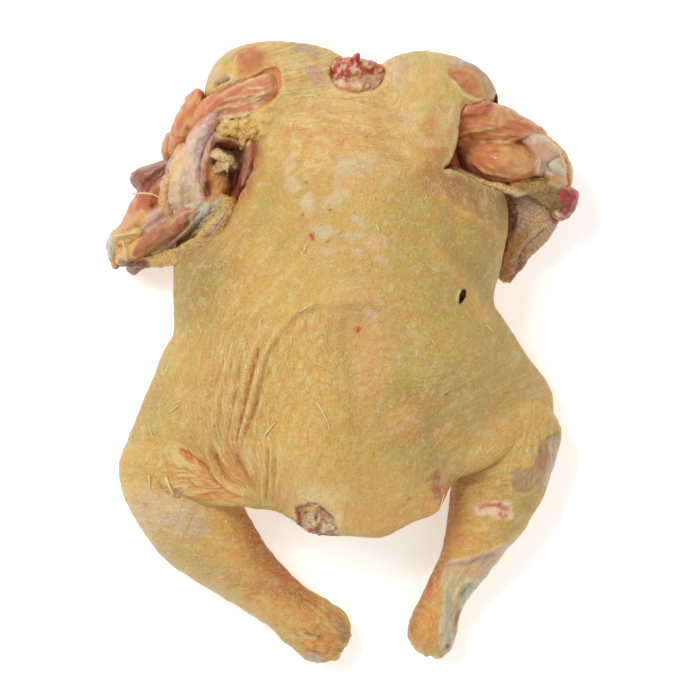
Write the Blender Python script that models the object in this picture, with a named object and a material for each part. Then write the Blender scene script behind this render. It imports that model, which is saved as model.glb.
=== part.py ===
"""A whole raw chicken, plucked and dressed, lying on its breast with its back up.

The bird is one solid. It is built up the way flesh lies on a carcass: each
muscle mass or limb is a tapering limb of oval rings, and all of them are
melted into one closed skin. The surface that the bird lies on cuts the skin
flat, as soft meat settles flat under its own weight.

Frame: metres, +Z up, +Y towards the neck, +X towards the bird's right side as
seen from above. The origin is on the lying surface, under the middle of the back.

Only the outside that can be seen is built, with a plain rounded breast beneath.
The skin's one deep puncture, right of the back's middle, is a real blind hole.
"""

import math

import bmesh
import bpy
from mathutils import Matrix, Vector

MM = 0.001
UP = Vector((0.0, 0.0, 1.0))

# Driving sizes of the bird, in millimetres.
BACK_HEIGHT = 86.0  # lying surface to the top of the back
RIB_HALF_WIDTH = 73.0
KNEE_RADIUS = 20.0
HOCK_RADIUS = 12.0
UPPER_WING_RADIUS = 12.0
PUNCTURE = (52.5, 27.0, 72.0)  # the bottom of the blind hole in the skin
PUNCTURE_RADIUS = 2.4
PUNCTURE_LENGTH = 26.0  # reaches past the skin above the hole's bottom

# How the masses are rounded and melted together.
RING_SIDES = 20
STEPS_BETWEEN_STATIONS = 4
CAP_ANGLES = (30.0, 55.0, 78.0)  # rings that round off a limb's end, in degrees
VOXEL = 2.6 * MM
MELT_ROUNDS = 14
TRIANGLES = 8200

SKIN_COLOUR = (0.62, 0.42, 0.14, 1.0)
SKIN_ROUGHNESS = 0.42


def clear_scene():
    for thing in list(bpy.data.objects):
        bpy.data.objects.remove(thing)


def skin_material():
    material = bpy.data.materials.new("yellow_skin")
    material.use_nodes = True
    shader = material.node_tree.nodes["Principled BSDF"]
    shader.inputs["Base Color"].default_value = SKIN_COLOUR
    shader.inputs["Roughness"].default_value = SKIN_ROUGHNESS
    shader.inputs["Metallic"].default_value = 0.0
    return material


def between(a, b, c, d, t):
    """The Catmull-Rom curve through b (t = 0) and c (t = 1)."""
    straight = 2.0 * b + (c - a) * t
    bend = (2.0 * a - 5.0 * b + 4.0 * c - d) * t**2
    twist = (3.0 * b - a - 3.0 * c + d) * t**3
    return 0.5 * (straight + bend + twist)


def smooth_stations(stations):
    """Stations as 5-vectors (x, y, z, half width, half height), with more of them on the curve between."""
    given = [Vector(s) for s in stations]
    ends = [2.0 * given[0] - given[1], *given, 2.0 * given[-1] - given[-2]]
    dense = []
    for i in range(len(given) - 1):
        for step in range(STEPS_BETWEEN_STATIONS):
            dense.append(between(*ends[i : i + 4], step / STEPS_BETWEEN_STATIONS))
    return [*dense, given[-1]]


def ring_place(centre, along, half_width, half_height):
    """The matrix that turns a unit circle into the limb's oval ring."""
    side = along.cross(UP).normalized()
    rise = side.cross(along).normalized()
    place = Matrix((side * half_width, rise * half_height, along)).transposed().to_4x4()
    place.translation = centre
    return place


def ring_places(stations, blunt):
    """Places of all rings along the limb, in order.

    Blunt is how far each end bulges, as a share of the end ring's smaller half size.
    """
    dense = smooth_stations(stations)
    centres = [Vector(s[:3]) for s in dense]
    places = []
    for i, station in enumerate(dense):
        ahead = centres[min(i + 1, len(centres) - 1)]
        behind = centres[max(i - 1, 0)]
        along = (ahead - behind).normalized()
        first, last = i == 0, i == len(dense) - 1
        angles = [0.0]
        if first:
            angles = [-a for a in reversed(CAP_ANGLES)] + angles
        if last:
            angles += list(CAP_ANGLES)
        for angle in angles:
            turn = math.radians(angle)
            reach = blunt * min(station[3], station[4]) * math.sin(turn)
            shrink = math.cos(turn)
            places.append(
                ring_place(centres[i] + along * reach, along, station[3] * shrink, station[4] * shrink)
            )
    return places


def limb(bm, stations, blunt=1.0):
    """Adds one closed limb to bm: oval rings, bridged in order, with capped ends."""
    places = ring_places(stations, blunt)
    loops = []
    for i, place in enumerate(places):
        ring = bmesh.ops.create_circle(
            bm,
            cap_ends=i in (0, len(places) - 1),
            segments=RING_SIDES,
            radius=1.0,
            matrix=Matrix.Scale(MM, 4) @ place,
        )
        around = set(ring["verts"])
        loops.append([e for e in bm.edges if e.verts[0] in around and e.verts[1] in around])
    for nearer, farther in zip(loops, loops[1:]):
        bmesh.ops.bridge_loops(bm, edges=nearer + farther)


def torso(bm):
    """Rib cage, belly and rump: the neck's base at +Y, the tail's stump at -Y."""
    # y, middle x, half width, underside, top
    stations = [
        (116, 4, 38, 26, 66),
        (104, 2, 53, 6, 77),
        (88, 1, 62, -3, 83),
        (68, 0, RIB_HALF_WIDTH + 1, -8, BACK_HEIGHT),
        (44, -3, RIB_HALF_WIDTH + 3, -10, BACK_HEIGHT + 1),
        (24, -4, RIB_HALF_WIDTH + 2, -8, 84),
        (0, -2, 71, -5, 82),
        (-26, 1, 64, 2, 80),
        (-48, 3, 58, 12, 74),
        (-64, 4, 52, 24, 65),
        (-74, 4, 44, 34, 57),
    ]
    limb(
        bm,
        [(x, y, (low + top) / 2, wide, (top - low) / 2) for y, x, wide, low, top in stations],
        blunt=0.6,
    )


def shoulders(bm):
    limb(bm, [(-45, 113, 54, 24, 22), (-30, 114, 56, 26, 22), (-10, 112, 54, 24, 20)], blunt=0.8)
    limb(bm, [(28, 111, 54, 24, 22), (42, 111, 55, 25, 22), (50, 106, 52, 21, 22)], blunt=0.8)


def neck_and_tail_stumps(bm):
    limb(bm, [(5, 112, 58, 16, 15), (5, 121, 60, 14, 12), (5, 126, 61, 11, 9)], blunt=0.4)
    limb(bm, [(-11, -58, 55, 12, 12), (-12, -70, 52, 9, 9), (-12, -76, 50, 8, 8)], blunt=0.3)


def thigh(bm, side, hip, middle, knee):
    """side is -1 on the left and 1 on the right. Each point is (x from the spine, y, z)."""
    placed = [(side * x, y, z) for x, y, z in (hip, middle, knee)]
    sizes = ((39, 34), (34, 31), (KNEE_RADIUS + 2, KNEE_RADIUS + 3))
    limb(bm, [(*p, *s) for p, s in zip(placed, sizes)], blunt=0.9)


def thighs(bm):
    thigh(bm, -1, (34, 0, 45), (62, -27, 37), (81, -55, 26))
    thigh(bm, 1, (38, -5, 45), (61, -19, 37), (76, -44, 26))


def drumsticks(bm):
    knee, hock = KNEE_RADIUS, HOCK_RADIUS
    left = [
        (-79, -60, 24, knee + 3, knee + 4),
        (-65, -79, 22, knee + 2, knee + 2),
        (-46, -97, 19, knee - 1, knee - 1),
        (-27, -113, 15, hock + 2, hock + 2),
        (-11, -125, 14, hock + 3.5, hock + 2),
    ]
    right = [
        (75, -47, 24, knee + 1, knee + 4),
        (66, -71, 21, knee, knee + 1),
        (54, -92, 17, hock + 3, hock + 5),
        (44, -111, 14, hock, hock + 1),
        (39, -127, 14, hock + 0.5, hock + 1),
    ]
    limb(bm, left)
    limb(bm, right, blunt=0.8)


def left_wing(bm):
    """Skinned upper arm, forearm folded outwards and down, and the stub of the hand."""
    arm = UPPER_WING_RADIUS
    upper_arm = [
        (-44, 114, 58, arm + 2, arm),
        (-60, 100, 60, arm, arm),
        (-65, 84, 60, arm, arm),
        (-61, 66, 57, arm + 3, arm),
    ]
    outer_meat = [(-62, 110, 50, 8, 10), (-73, 96, 50, 8, 12), (-76, 82, 46, 8, 10)]
    forearm = [(-60, 66, 54, arm + 3, arm + 1), (-77, 58, 40, arm + 3, arm), (-99, 46, 22, 10, 10)]
    hand_stub = [(-70, 91, 44, 7, 8), (-80, 88, 38, 7, 7), (-93, 80, 32, 7, 7)]
    elbow_lump = [(-80, 74, 34, 10, 10), (-88, 68, 30, 9, 9)]
    limb(bm, upper_arm)
    limb(bm, outer_meat)
    limb(bm, forearm)
    limb(bm, hand_stub, blunt=0.4)
    limb(bm, elbow_lump)


def right_wing(bm):
    """Skinned upper arm, elbow, the forearm's cut stub and the loose web of skin under it."""
    arm = UPPER_WING_RADIUS
    upper_arm = [
        (46, 105, 56, arm + 6, arm + 2),
        (67, 97, 54, arm + 6, arm),
        (85, 89, 46, arm + 2, arm),
        (93, 84, 42, arm - 1, arm - 1),
    ]
    cut_stub = [(84, 80, 38, 10, 10), (98, 68, 34, 9, 8)]
    skin_web = [(79, 77, 34, arm + 4, 14), (80, 61, 26, arm + 2, 11), (76, 42, 16, 8, 7)]
    limb(bm, upper_arm)
    limb(bm, cut_stub, blunt=0.5)
    limb(bm, skin_web, blunt=0.8)


def as_object(bm, name):
    thing = bpy.data.objects.new(name, bpy.data.meshes.new(name))
    bm.to_mesh(thing.data)
    bpy.context.scene.collection.objects.link(thing)
    return thing


def taken(thing):
    """The object's mesh with its modifiers applied. The object itself is removed."""
    graph = bpy.context.evaluated_depsgraph_get()
    whole = bmesh.new()
    whole.from_object(thing, graph)
    bpy.data.objects.remove(thing)
    return whole


def melted(bm):
    """The masses as one smooth closed mesh."""
    masses = as_object(bm, "masses")
    skin = masses.modifiers.new("one_skin", "REMESH")
    skin.mode = "VOXEL"
    skin.voxel_size = VOXEL
    melt = masses.modifiers.new("melt", "SMOOTH")
    melt.factor = 0.5
    melt.iterations = MELT_ROUNDS
    return taken(masses)


def settle(bm):
    """Cuts the underside flat at the lying surface and closes it."""
    bmesh.ops.bisect_plane(
        bm, geom=[*bm.verts, *bm.edges, *bm.faces], plane_no=-UP, clear_outer=True
    )
    rims = [e for e in bm.edges if e.is_boundary]
    bmesh.ops.holes_fill(bm, edges=rims)
    bmesh.ops.recalc_face_normals(bm, faces=bm.faces)


def pierced(bm):
    """The bird in its final number of faces, with the puncture cut into it."""
    faces = sum(len(f.verts) - 2 for f in bm.faces)
    bird = as_object(bm, "bird")
    thin = bird.modifiers.new("fewer_faces", "DECIMATE")
    thin.ratio = TRIANGLES / faces
    punch = bmesh.new()
    middle = Vector(PUNCTURE) + UP * PUNCTURE_LENGTH / 2
    bmesh.ops.create_cone(
        punch,
        cap_ends=True,
        segments=12,
        radius1=PUNCTURE_RADIUS * MM,
        radius2=PUNCTURE_RADIUS * MM,
        depth=PUNCTURE_LENGTH * MM,
        matrix=Matrix.Translation(middle * MM),
    )
    punch_object = as_object(punch, "punch")
    cut = bird.modifiers.new("puncture", "BOOLEAN")
    cut.operation = "DIFFERENCE"
    cut.object = punch_object
    whole = taken(bird)
    bpy.data.objects.remove(punch_object)
    return whole


def chicken():
    masses = bmesh.new()
    for build in (torso, shoulders, neck_and_tail_stumps, thighs, drumsticks, left_wing, right_wing):
        build(masses)
    bird = melted(masses)
    settle(bird)
    body = as_object(pierced(bird), "chicken")
    body.data.materials.append(skin_material())
    body.data.shade_smooth()


clear_scene()
chicken()
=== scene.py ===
"""The looks of a whole raw chicken that lies on its breast, back up.

The skin of the body and of each drumstick is melted together from rounded
masses and then worked as clay: folds, creases, wrinkles and dents move its
points, and its colours are soft strokes from a small palette laid on the same
points. The torn wings are built muscle by muscle, with their bones, sinews,
fat and loose skin. Lengths are in MM, one millimetre of the bird, which is
taken from the frame's own length. Plan places are (x, y), as an eye high above
the middle of the back sees them: x to the bird's right, y towards its neck.
"""

import math
from itertools import product

import bpy
import numpy as np
from mathutils import Matrix, Vector


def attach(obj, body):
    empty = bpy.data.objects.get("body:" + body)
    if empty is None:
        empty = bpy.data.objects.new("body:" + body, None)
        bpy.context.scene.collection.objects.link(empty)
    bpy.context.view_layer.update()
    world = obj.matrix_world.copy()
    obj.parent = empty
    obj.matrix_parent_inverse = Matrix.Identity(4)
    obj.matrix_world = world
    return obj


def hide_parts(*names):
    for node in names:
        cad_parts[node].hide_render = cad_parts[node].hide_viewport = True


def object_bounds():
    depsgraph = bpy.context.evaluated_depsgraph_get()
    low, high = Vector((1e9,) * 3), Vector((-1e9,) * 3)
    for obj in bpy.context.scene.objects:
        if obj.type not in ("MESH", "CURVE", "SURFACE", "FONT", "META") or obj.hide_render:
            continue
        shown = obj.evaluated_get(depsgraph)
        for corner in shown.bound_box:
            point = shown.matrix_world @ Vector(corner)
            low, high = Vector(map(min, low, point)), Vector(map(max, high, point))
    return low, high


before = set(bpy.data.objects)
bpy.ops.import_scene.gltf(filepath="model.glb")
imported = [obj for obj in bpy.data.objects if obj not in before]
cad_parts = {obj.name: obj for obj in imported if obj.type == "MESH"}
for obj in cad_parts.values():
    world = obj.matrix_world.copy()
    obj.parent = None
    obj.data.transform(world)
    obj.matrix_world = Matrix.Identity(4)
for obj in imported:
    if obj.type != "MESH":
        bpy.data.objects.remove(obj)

CAD_LOW, CAD_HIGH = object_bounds()
BIRD_LENGTH = 277.8
MM = (CAD_HIGH.y - CAD_LOW.y) / BIRD_LENGTH
UP = Vector((0.0, 0.0, 1.0))

# The eye that plan places are seen from, and the level where they are true, in MM.
EYE_HEIGHT = 1800.0
EYE_LEVEL = 35.0

# The skin's fineness, in MM.
SKIN_VOXEL = 2.15
LEG_VOXEL = 1.5
WING_VOXEL = 0.68
MELT_ROUNDS = 22

# The lying surface, with a hair of clearance, in MM.
SURFACE = 0.02


# ---------------------------------------------------------------- palette


def tone(red, green, blue):
    """A linear colour from a paint tone whose parts run from 0 to 255."""
    parts = np.array([red, green, blue]) / 255.0
    return np.where(parts <= 0.04045, parts / 12.92, ((parts + 0.055) / 1.055) ** 2.4)


PALETTE = {
    "butter": tone(207, 174, 98),
    "gold": tone(214, 172, 80),
    "apricot": tone(217, 168, 100),
    "orange": tone(222, 150, 76),
    "olive": tone(178, 152, 80),
    "moss": tone(156, 132, 72),
    "cream": tone(228, 206, 150),
    "rose": tone(212, 160, 124),
    "coral": tone(214, 122, 76),
    "lilac": tone(200, 174, 158),
    "grey": tone(182, 166, 148),
    "rust": tone(172, 104, 58),
    "umber": tone(132, 84, 44),
    "wine": tone(112, 46, 26),
    "blood": tone(190, 62, 52),
    "pit": tone(46, 26, 16),
    "meat": tone(210, 132, 74),
    "salmon": tone(214, 142, 94),
    "brick": tone(192, 98, 56),
    "bark": tone(170, 112, 76),
    "fat": tone(226, 178, 104),
    "corn": tone(226, 194, 112),
    "pearl": tone(230, 204, 172),
    "bluish": tone(192, 190, 166),
    "veil": tone(214, 190, 178),
    "smoke": tone(208, 188, 154),
    "tan": tone(176, 140, 104),
    "gore": tone(146, 42, 30),
    "liver": tone(140, 68, 42),
    "scarlet": tone(182, 44, 38),
}


# ---------------------------------------------------------------- tables

# A table's line holds a row's values, a colon, and the places that the row runs through.
# AREAS: a tone and its strength, then the outline that they fill.
# STROKES: half width, tone and strength, then the stroke's path.
# RELIEF, FOLDS and RIDGES: half width and height, then a path along the skin.
# LINES and FIBRES: how strong the grain is, then a path that it follows.
# MEAT, PALE and FAT: how blunt a form's ends are, then stations (x, y, z, half width, half height).
# MOTTLES: the tones of the spots, their size and strength, then the outline that they fill.


def rows(text):
    """A table's rows, each a list of places with its values after it.

    A line that ends in a comma goes on in the next.
    """
    table = []
    for line in text.replace(",\n", ",").strip().splitlines():
        values, _, places = line.rpartition(":")
        values = [value if value[0].isalpha() else float(value) for value in values.split()]
        table.append(([tuple(map(float, place.split())) for place in places.split(",")], *values))
    return table


# ---------------------------------------------------------------- noise


def hashed(cells, seed):
    """A random number from 0 to 1 for each row of whole numbers, the same each run."""
    mixed = cells[:, 0] * 374761393 + cells[:, 1] * 668265263 + cells[:, 2] * 1440662683 + seed * 974634777
    mixed = (mixed ^ (mixed >> 13)) & 0xFFFFFFFF
    mixed = (mixed * 1274126177) & 0xFFFFFFFF
    mixed = (mixed ^ (mixed >> 16)) & 0xFFFFFF
    return mixed / 0xFFFFFF


def cloud(points, size, seed=0):
    """Smooth noise from -1 to 1 at the points, with lumps of about the given size."""
    scaled = points / size
    cell = np.floor(scaled).astype(np.int64)
    part = scaled - cell
    part = part * part * (3.0 - 2.0 * part)
    total = np.zeros(len(points))
    for corner in product((0, 1), repeat=3):
        share = np.where(corner, part, 1.0 - part).prod(axis=1)
        total += share * hashed(cell + np.array(corner), seed)
    return 2.0 * total - 1.0


def ramp(values, low, high):
    """0 below low, 1 above high, and a smooth slope between."""
    part = np.clip((values - low) / (high - low), 0.0, 1.0)
    return part * part * (3.0 - 2.0 * part)


# ---------------------------------------------------------------- paths in plan


def rounded(path, steps=6):
    """The path's points with more of them on the smooth curve through them."""
    given = np.array(path, float)
    if len(given) < 3:
        return given
    ends = np.vstack([2 * given[0] - given[1], given, 2 * given[-1] - given[-2]])
    dense = []
    for a, b, c, d in zip(ends, ends[1:], ends[2:], ends[3:]):
        for t in np.arange(steps) / steps:
            straight = 2 * b + (c - a) * t
            bend = (2 * a - 5 * b + 4 * c - d) * t**2
            twist = (3 * b - a - 3 * c + d) * t**3
            dense.append((straight + bend + twist) / 2)
    return np.vstack([dense, given[-1]])


def enclosed(plan, closed):
    """Which plan points lie inside a closed outline."""
    inside = np.zeros(len(plan), bool)
    for (x, y), (to_x, to_y) in zip(closed, closed[1:]):
        if y == to_y:
            continue
        crosses = (plan[:, 1] < y) != (plan[:, 1] < to_y)
        inside ^= crosses & (plan[:, 0] < x + (plan[:, 1] - y) * (to_x - x) / (to_y - y))
    return inside


class Grain:
    """Streaks that follow given lines, such as fine wrinkles or muscle fibres, on a plan grid."""

    CELL = 0.5
    REACH = 15  # steps of one cell that a streak runs each way

    def __init__(self, lines, low, high, width=1.3, lean=(-1.0, -1.0)):
        self.lines = lines
        self.low = np.array(low, float)
        self.shape = tuple(int(8 * math.ceil(side / self.CELL / 8)) for side in np.array(high) - self.low)
        sides = [np.arange(n) * self.CELL for n in self.shape]
        plan = np.stack(np.meshgrid(*sides, indexing="ij"), axis=-1).reshape(-1, 2) + self.low
        coarse = plan.reshape(*self.shape, 2)[::8, ::8].reshape(-1, 2)
        heading, strength = self.followed(coarse)
        shape = (self.shape[0] // 8, self.shape[1] // 8)
        self.heading = [self.spread(part.reshape(shape)) for part in heading.T]
        self.strength = self.spread(strength.reshape(shape))
        angle = (np.arctan2(heading[:, 1], heading[:, 0]) / 2.0).reshape(shape)
        along = np.stack([np.cos(angle), np.sin(angle)])
        along *= np.where(along[0] * lean[0] + along[1] * lean[1] < 0.0, -1.0, 1.0)
        across = np.stack([-along[1], along[0]])
        self.weave = [self.spread(self.climbed(across, along)), self.spread(self.climbed(along, across))]
        seeds = np.stack([plan[:, 0], plan[:, 1], np.zeros(len(plan))], axis=1)
        dots = cloud(seeds, width, 5) + 0.7 * cloud(seeds, 2.1 * width, 6)
        self.sway = 0.35 * cloud(seeds, 7.0, 7).reshape(self.shape)
        self.streaks = self.drawn(dots.reshape(self.shape))

    def followed(self, plan):
        """Direction as a doubled angle, and wrinkle strength, blended from the lines near each point."""
        total = np.full(len(plan), 1e-9)
        blend = np.zeros((len(plan), 2))
        strength = np.zeros(len(plan))
        for path, power in self.lines:
            curve = rounded(path, 3)
            for start, end in zip(curve, curve[1:]):
                step = end - start
                length = math.hypot(*step)
                away = plan - (start + end) / 2
                weight = length / (away[:, 0] ** 2 + away[:, 1] ** 2 + 12.0) ** 2
                double = 2.0 * math.atan2(step[1], step[0])
                blend += weight[:, None] * np.array([math.cos(double), math.sin(double)])
                strength += weight * power
                total += weight
        return blend, strength / total

    def climbed(self, up, level):
        """A coarse grid of heights that rise evenly along one heading and stay flat along the other."""
        step = 8 * self.CELL
        up, level = [(part[:, 1:, 1:] + part[:, :-1, :-1]) / 2 for part in (up, 2.0 * level)]

        def slopes(h):
            x = (h[1:, 1:] + h[1:, :-1] - h[:-1, 1:] - h[:-1, :-1]) / (2 * step)
            y = (h[1:, 1:] + h[:-1, 1:] - h[1:, :-1] - h[:-1, :-1]) / (2 * step)
            return np.stack([(up * (x, y)).sum(axis=0), (level * (x, y)).sum(axis=0)])

        def gathered(parts):
            x, y = (parts[0] * up + parts[1] * level) / (2 * step)
            total = np.zeros((x.shape[0] + 1, x.shape[1] + 1))
            total[1:, 1:] += x + y
            total[1:, :-1] += x - y
            total[:-1, 1:] += y - x
            total[:-1, :-1] -= x + y
            return total

        wanted = np.stack([np.ones(up.shape[1:]), np.zeros(up.shape[1:])])
        left = gathered(wanted)
        heights = np.zeros_like(left)
        push = left.copy()
        size = (left**2).sum()
        for _ in range(400):
            pull = gathered(slopes(push))
            share = size / (push * pull).sum()
            heights += share * push
            left -= share * pull
            smaller = (left**2).sum()
            push = left + push * (smaller / size)
            size = smaller
            if size < 1e-12:
                break
        return heights

    def spread(self, coarse):
        """A coarse grid's values on the fine grid."""
        down = np.clip(np.arange(self.shape[0]) / 8.0, 0, coarse.shape[0] - 1.001)
        along = np.clip(np.arange(self.shape[1]) / 8.0, 0, coarse.shape[1] - 1.001)
        r, c = down.astype(int), along.astype(int)
        part_r, part_c = (down - r)[:, None], along - c
        upper = coarse[r][:, c] * (1 - part_c) + coarse[r][:, c + 1] * part_c
        lower = coarse[r + 1][:, c] * (1 - part_c) + coarse[r + 1][:, c + 1] * part_c
        fine = upper * (1 - part_r) + lower * part_r
        for axis in (0, 1):
            wings = [(6, 6) if a == axis else (0, 0) for a in (0, 1)]
            wide = np.pad(fine, wings, mode="reflect", reflect_type="odd")
            fine = sum(np.take(wide, range(k, k + fine.shape[axis]), axis) for k in range(13)) / 13.0
        return fine

    def drawn(self, dots):
        """Dots smeared along the heading into streaks of even contrast."""
        angle = np.arctan2(self.heading[1], self.heading[0]) / 2.0 + self.sway
        step_x, step_y = np.cos(angle), np.sin(angle)
        start = np.meshgrid(*[np.arange(n) for n in self.shape], indexing="ij")
        total = dots.copy()
        for way in (1.0, -1.0):
            x, y = [part.astype(float) for part in start]
            go_x, go_y = step_x * way, step_y * way
            for _ in range(self.REACH):
                x, y = x + go_x, y + go_y
                i = np.clip(x + 0.5, 0, self.shape[0] - 1).astype(int)
                j = np.clip(y + 0.5, 0, self.shape[1] - 1).astype(int)
                total += dots[i, j]
                same = np.where(step_x[i, j] * go_x + step_y[i, j] * go_y < 0.0, -1.0, 1.0)
                go_x, go_y = step_x[i, j] * same, step_y[i, j] * same
        return (total - total.mean()) / total.std()

    def at(self, plan):
        """Streaks, their strength, and the places across and along them, at the plan points."""
        spot = (plan - self.low) / self.CELL
        spot = np.clip(spot, 0, np.array(self.shape) - 2.001)
        cell = spot.astype(int)
        part = spot - cell
        values = []
        for grid in (self.streaks, self.strength, *self.weave):
            total = 0.0
            for i, j in product((0, 1), repeat=2):
                share = np.abs(1 - i - part[:, 0]) * np.abs(1 - j - part[:, 1])
                total = total + share * grid[cell[:, 0] + i, cell[:, 1] + j]
            values.append(total)
        return values


def measured(plan, path, smooth=True):
    """For each plan point: distance to the path, its side (+1 on the right), and how far along, 0 to 1."""
    curve = rounded(path) if smooth else np.array(path, float)
    best = np.full(len(plan), np.inf)
    side = np.ones(len(plan))
    along = np.zeros(len(plan))
    steps = np.diff(curve, axis=0)
    lengths = np.hypot(steps[:, 0], steps[:, 1])
    walked = np.concatenate([[0.0], np.cumsum(lengths)])
    for start, step, length, before in zip(curve, steps, lengths, walked):
        offset = plan - start
        share = np.clip(offset @ step / length**2, 0.0, 1.0)
        away = offset - share[:, None] * step
        distance = np.hypot(away[:, 0], away[:, 1])
        closer = distance < best
        best[closer] = distance[closer]
        turn = offset[closer, 0] * step[1] - offset[closer, 1] * step[0]
        side[closer] = np.where(turn >= 0.0, 1.0, -1.0)
        along[closer] = (before + share[closer] * length) / walked[-1]
    return best, side, along


# ---------------------------------------------------------------- modelling


def deselect():
    if bpy.context.object and bpy.context.object.mode != "OBJECT":
        bpy.ops.object.mode_set(mode="OBJECT")
    bpy.ops.object.select_all(action="DESELECT")


def select(things):
    deselect()
    for thing in things:
        thing.select_set(True)
    bpy.context.view_layer.objects.active = things[-1]


def joined(things, name):
    select(things)
    bpy.ops.object.join()
    whole = bpy.context.object
    whole.name = name
    whole.data.name = name
    return whole


def modified(piece, kind, **settings):
    """Adds one modifier to the piece and applies it."""
    select([piece])
    modifier = piece.modifiers.new(kind.lower(), kind)
    for key, value in settings.items():
        setattr(modifier, key, value)
    bpy.ops.object.modifier_apply(modifier=modifier.name)
    return piece


CAP_ANGLES = (28.0, 54.0, 76.0)  # rings that round off a limb's end, in degrees


def ring_places(stations, blunt):
    """Centre, turn and half sizes of each of a limb's rings, its rounded ends included."""
    centres = [Vector(s[:3]) for s in stations]
    last = len(stations) - 1
    for i, station in enumerate(stations):
        along = (centres[min(i + 1, last)] - centres[max(i - 1, 0)]).normalized()
        side = along.cross(UP).normalized()
        rise = side.cross(along).normalized()
        turn = Matrix((side, rise, along)).transposed().to_euler()
        angles = [0.0]
        if i == 0:
            angles = [-a for a in reversed(CAP_ANGLES)] + angles
        if i == last:
            angles += CAP_ANGLES
        for angle in angles:
            reach = blunt * min(station[3:5]) * math.sin(math.radians(angle))
            shrink = math.cos(math.radians(angle))
            yield centres[i] + along * reach, turn, station[3] * shrink, station[4] * shrink


def limb(name, stations, sides=12, blunt=0.9):
    """A closed limb through stations (x, y, z, half width, half height): oval rings, bridged in order."""
    deselect()
    rings = []
    for centre, turn, wide, high in ring_places(stations, blunt):
        bpy.ops.mesh.primitive_circle_add(vertices=sides, radius=MM, location=centre * MM, rotation=turn)
        ring = bpy.context.object
        ring.scale = (wide, high, 1.0)
        rings.append(ring)
    whole = joined(rings, name)
    bpy.ops.object.transform_apply(location=True, rotation=True, scale=True)
    bpy.ops.object.mode_set(mode="EDIT")
    bpy.ops.mesh.select_all(action="SELECT")
    bpy.ops.mesh.bridge_edge_loops()
    bpy.ops.mesh.select_all(action="SELECT")
    bpy.ops.mesh.fill_holes(sides=0)
    bpy.ops.mesh.select_all(action="SELECT")
    bpy.ops.mesh.normals_make_consistent(inside=False)
    bpy.ops.object.mode_set(mode="OBJECT")
    return whole


def melted(masses, name, voxel, rounds=MELT_ROUNDS):
    """The masses as one closed skin, rounded where they meet."""
    whole = joined(masses, name)
    modified(whole, "SUBSURF", levels=2, render_levels=2)
    modified(whole, "REMESH", mode="VOXEL", voxel_size=voxel * MM)
    return modified(whole, "SMOOTH", factor=0.5, iterations=rounds)


def refined(piece, facing, low, spots=()):
    """Halves the faces that look upwards by at least facing and lie above low, and rounds them.

    With spots (x, y, reach), only the faces near one of them are halved.
    """
    select([piece])
    mesh = piece.data
    normals = np.empty(len(mesh.polygons) * 3)
    mesh.polygons.foreach_get("normal", normals)
    centres = np.empty(len(mesh.polygons) * 3)
    mesh.polygons.foreach_get("center", centres)
    chosen = (normals[2::3] > facing) & (centres[2::3] > low * MM)
    if spots:
        aways = [np.hypot(centres[0::3] / MM - x, centres[1::3] / MM - y) / reach for x, y, reach in spots]
        chosen &= np.min(aways, axis=0) < 1.0
    bpy.ops.object.mode_set(mode="EDIT")
    bpy.ops.mesh.select_mode(type="FACE")
    bpy.ops.mesh.select_all(action="DESELECT")
    bpy.ops.object.mode_set(mode="OBJECT")
    mesh.polygons.foreach_set("select", chosen)
    bpy.ops.object.mode_set(mode="EDIT")
    bpy.ops.mesh.subdivide(number_cuts=1)
    bpy.ops.object.mode_set(mode="OBJECT")
    return modified(piece, "SMOOTH", factor=0.5, iterations=3)


# ---------------------------------------------------------------- clay


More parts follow.
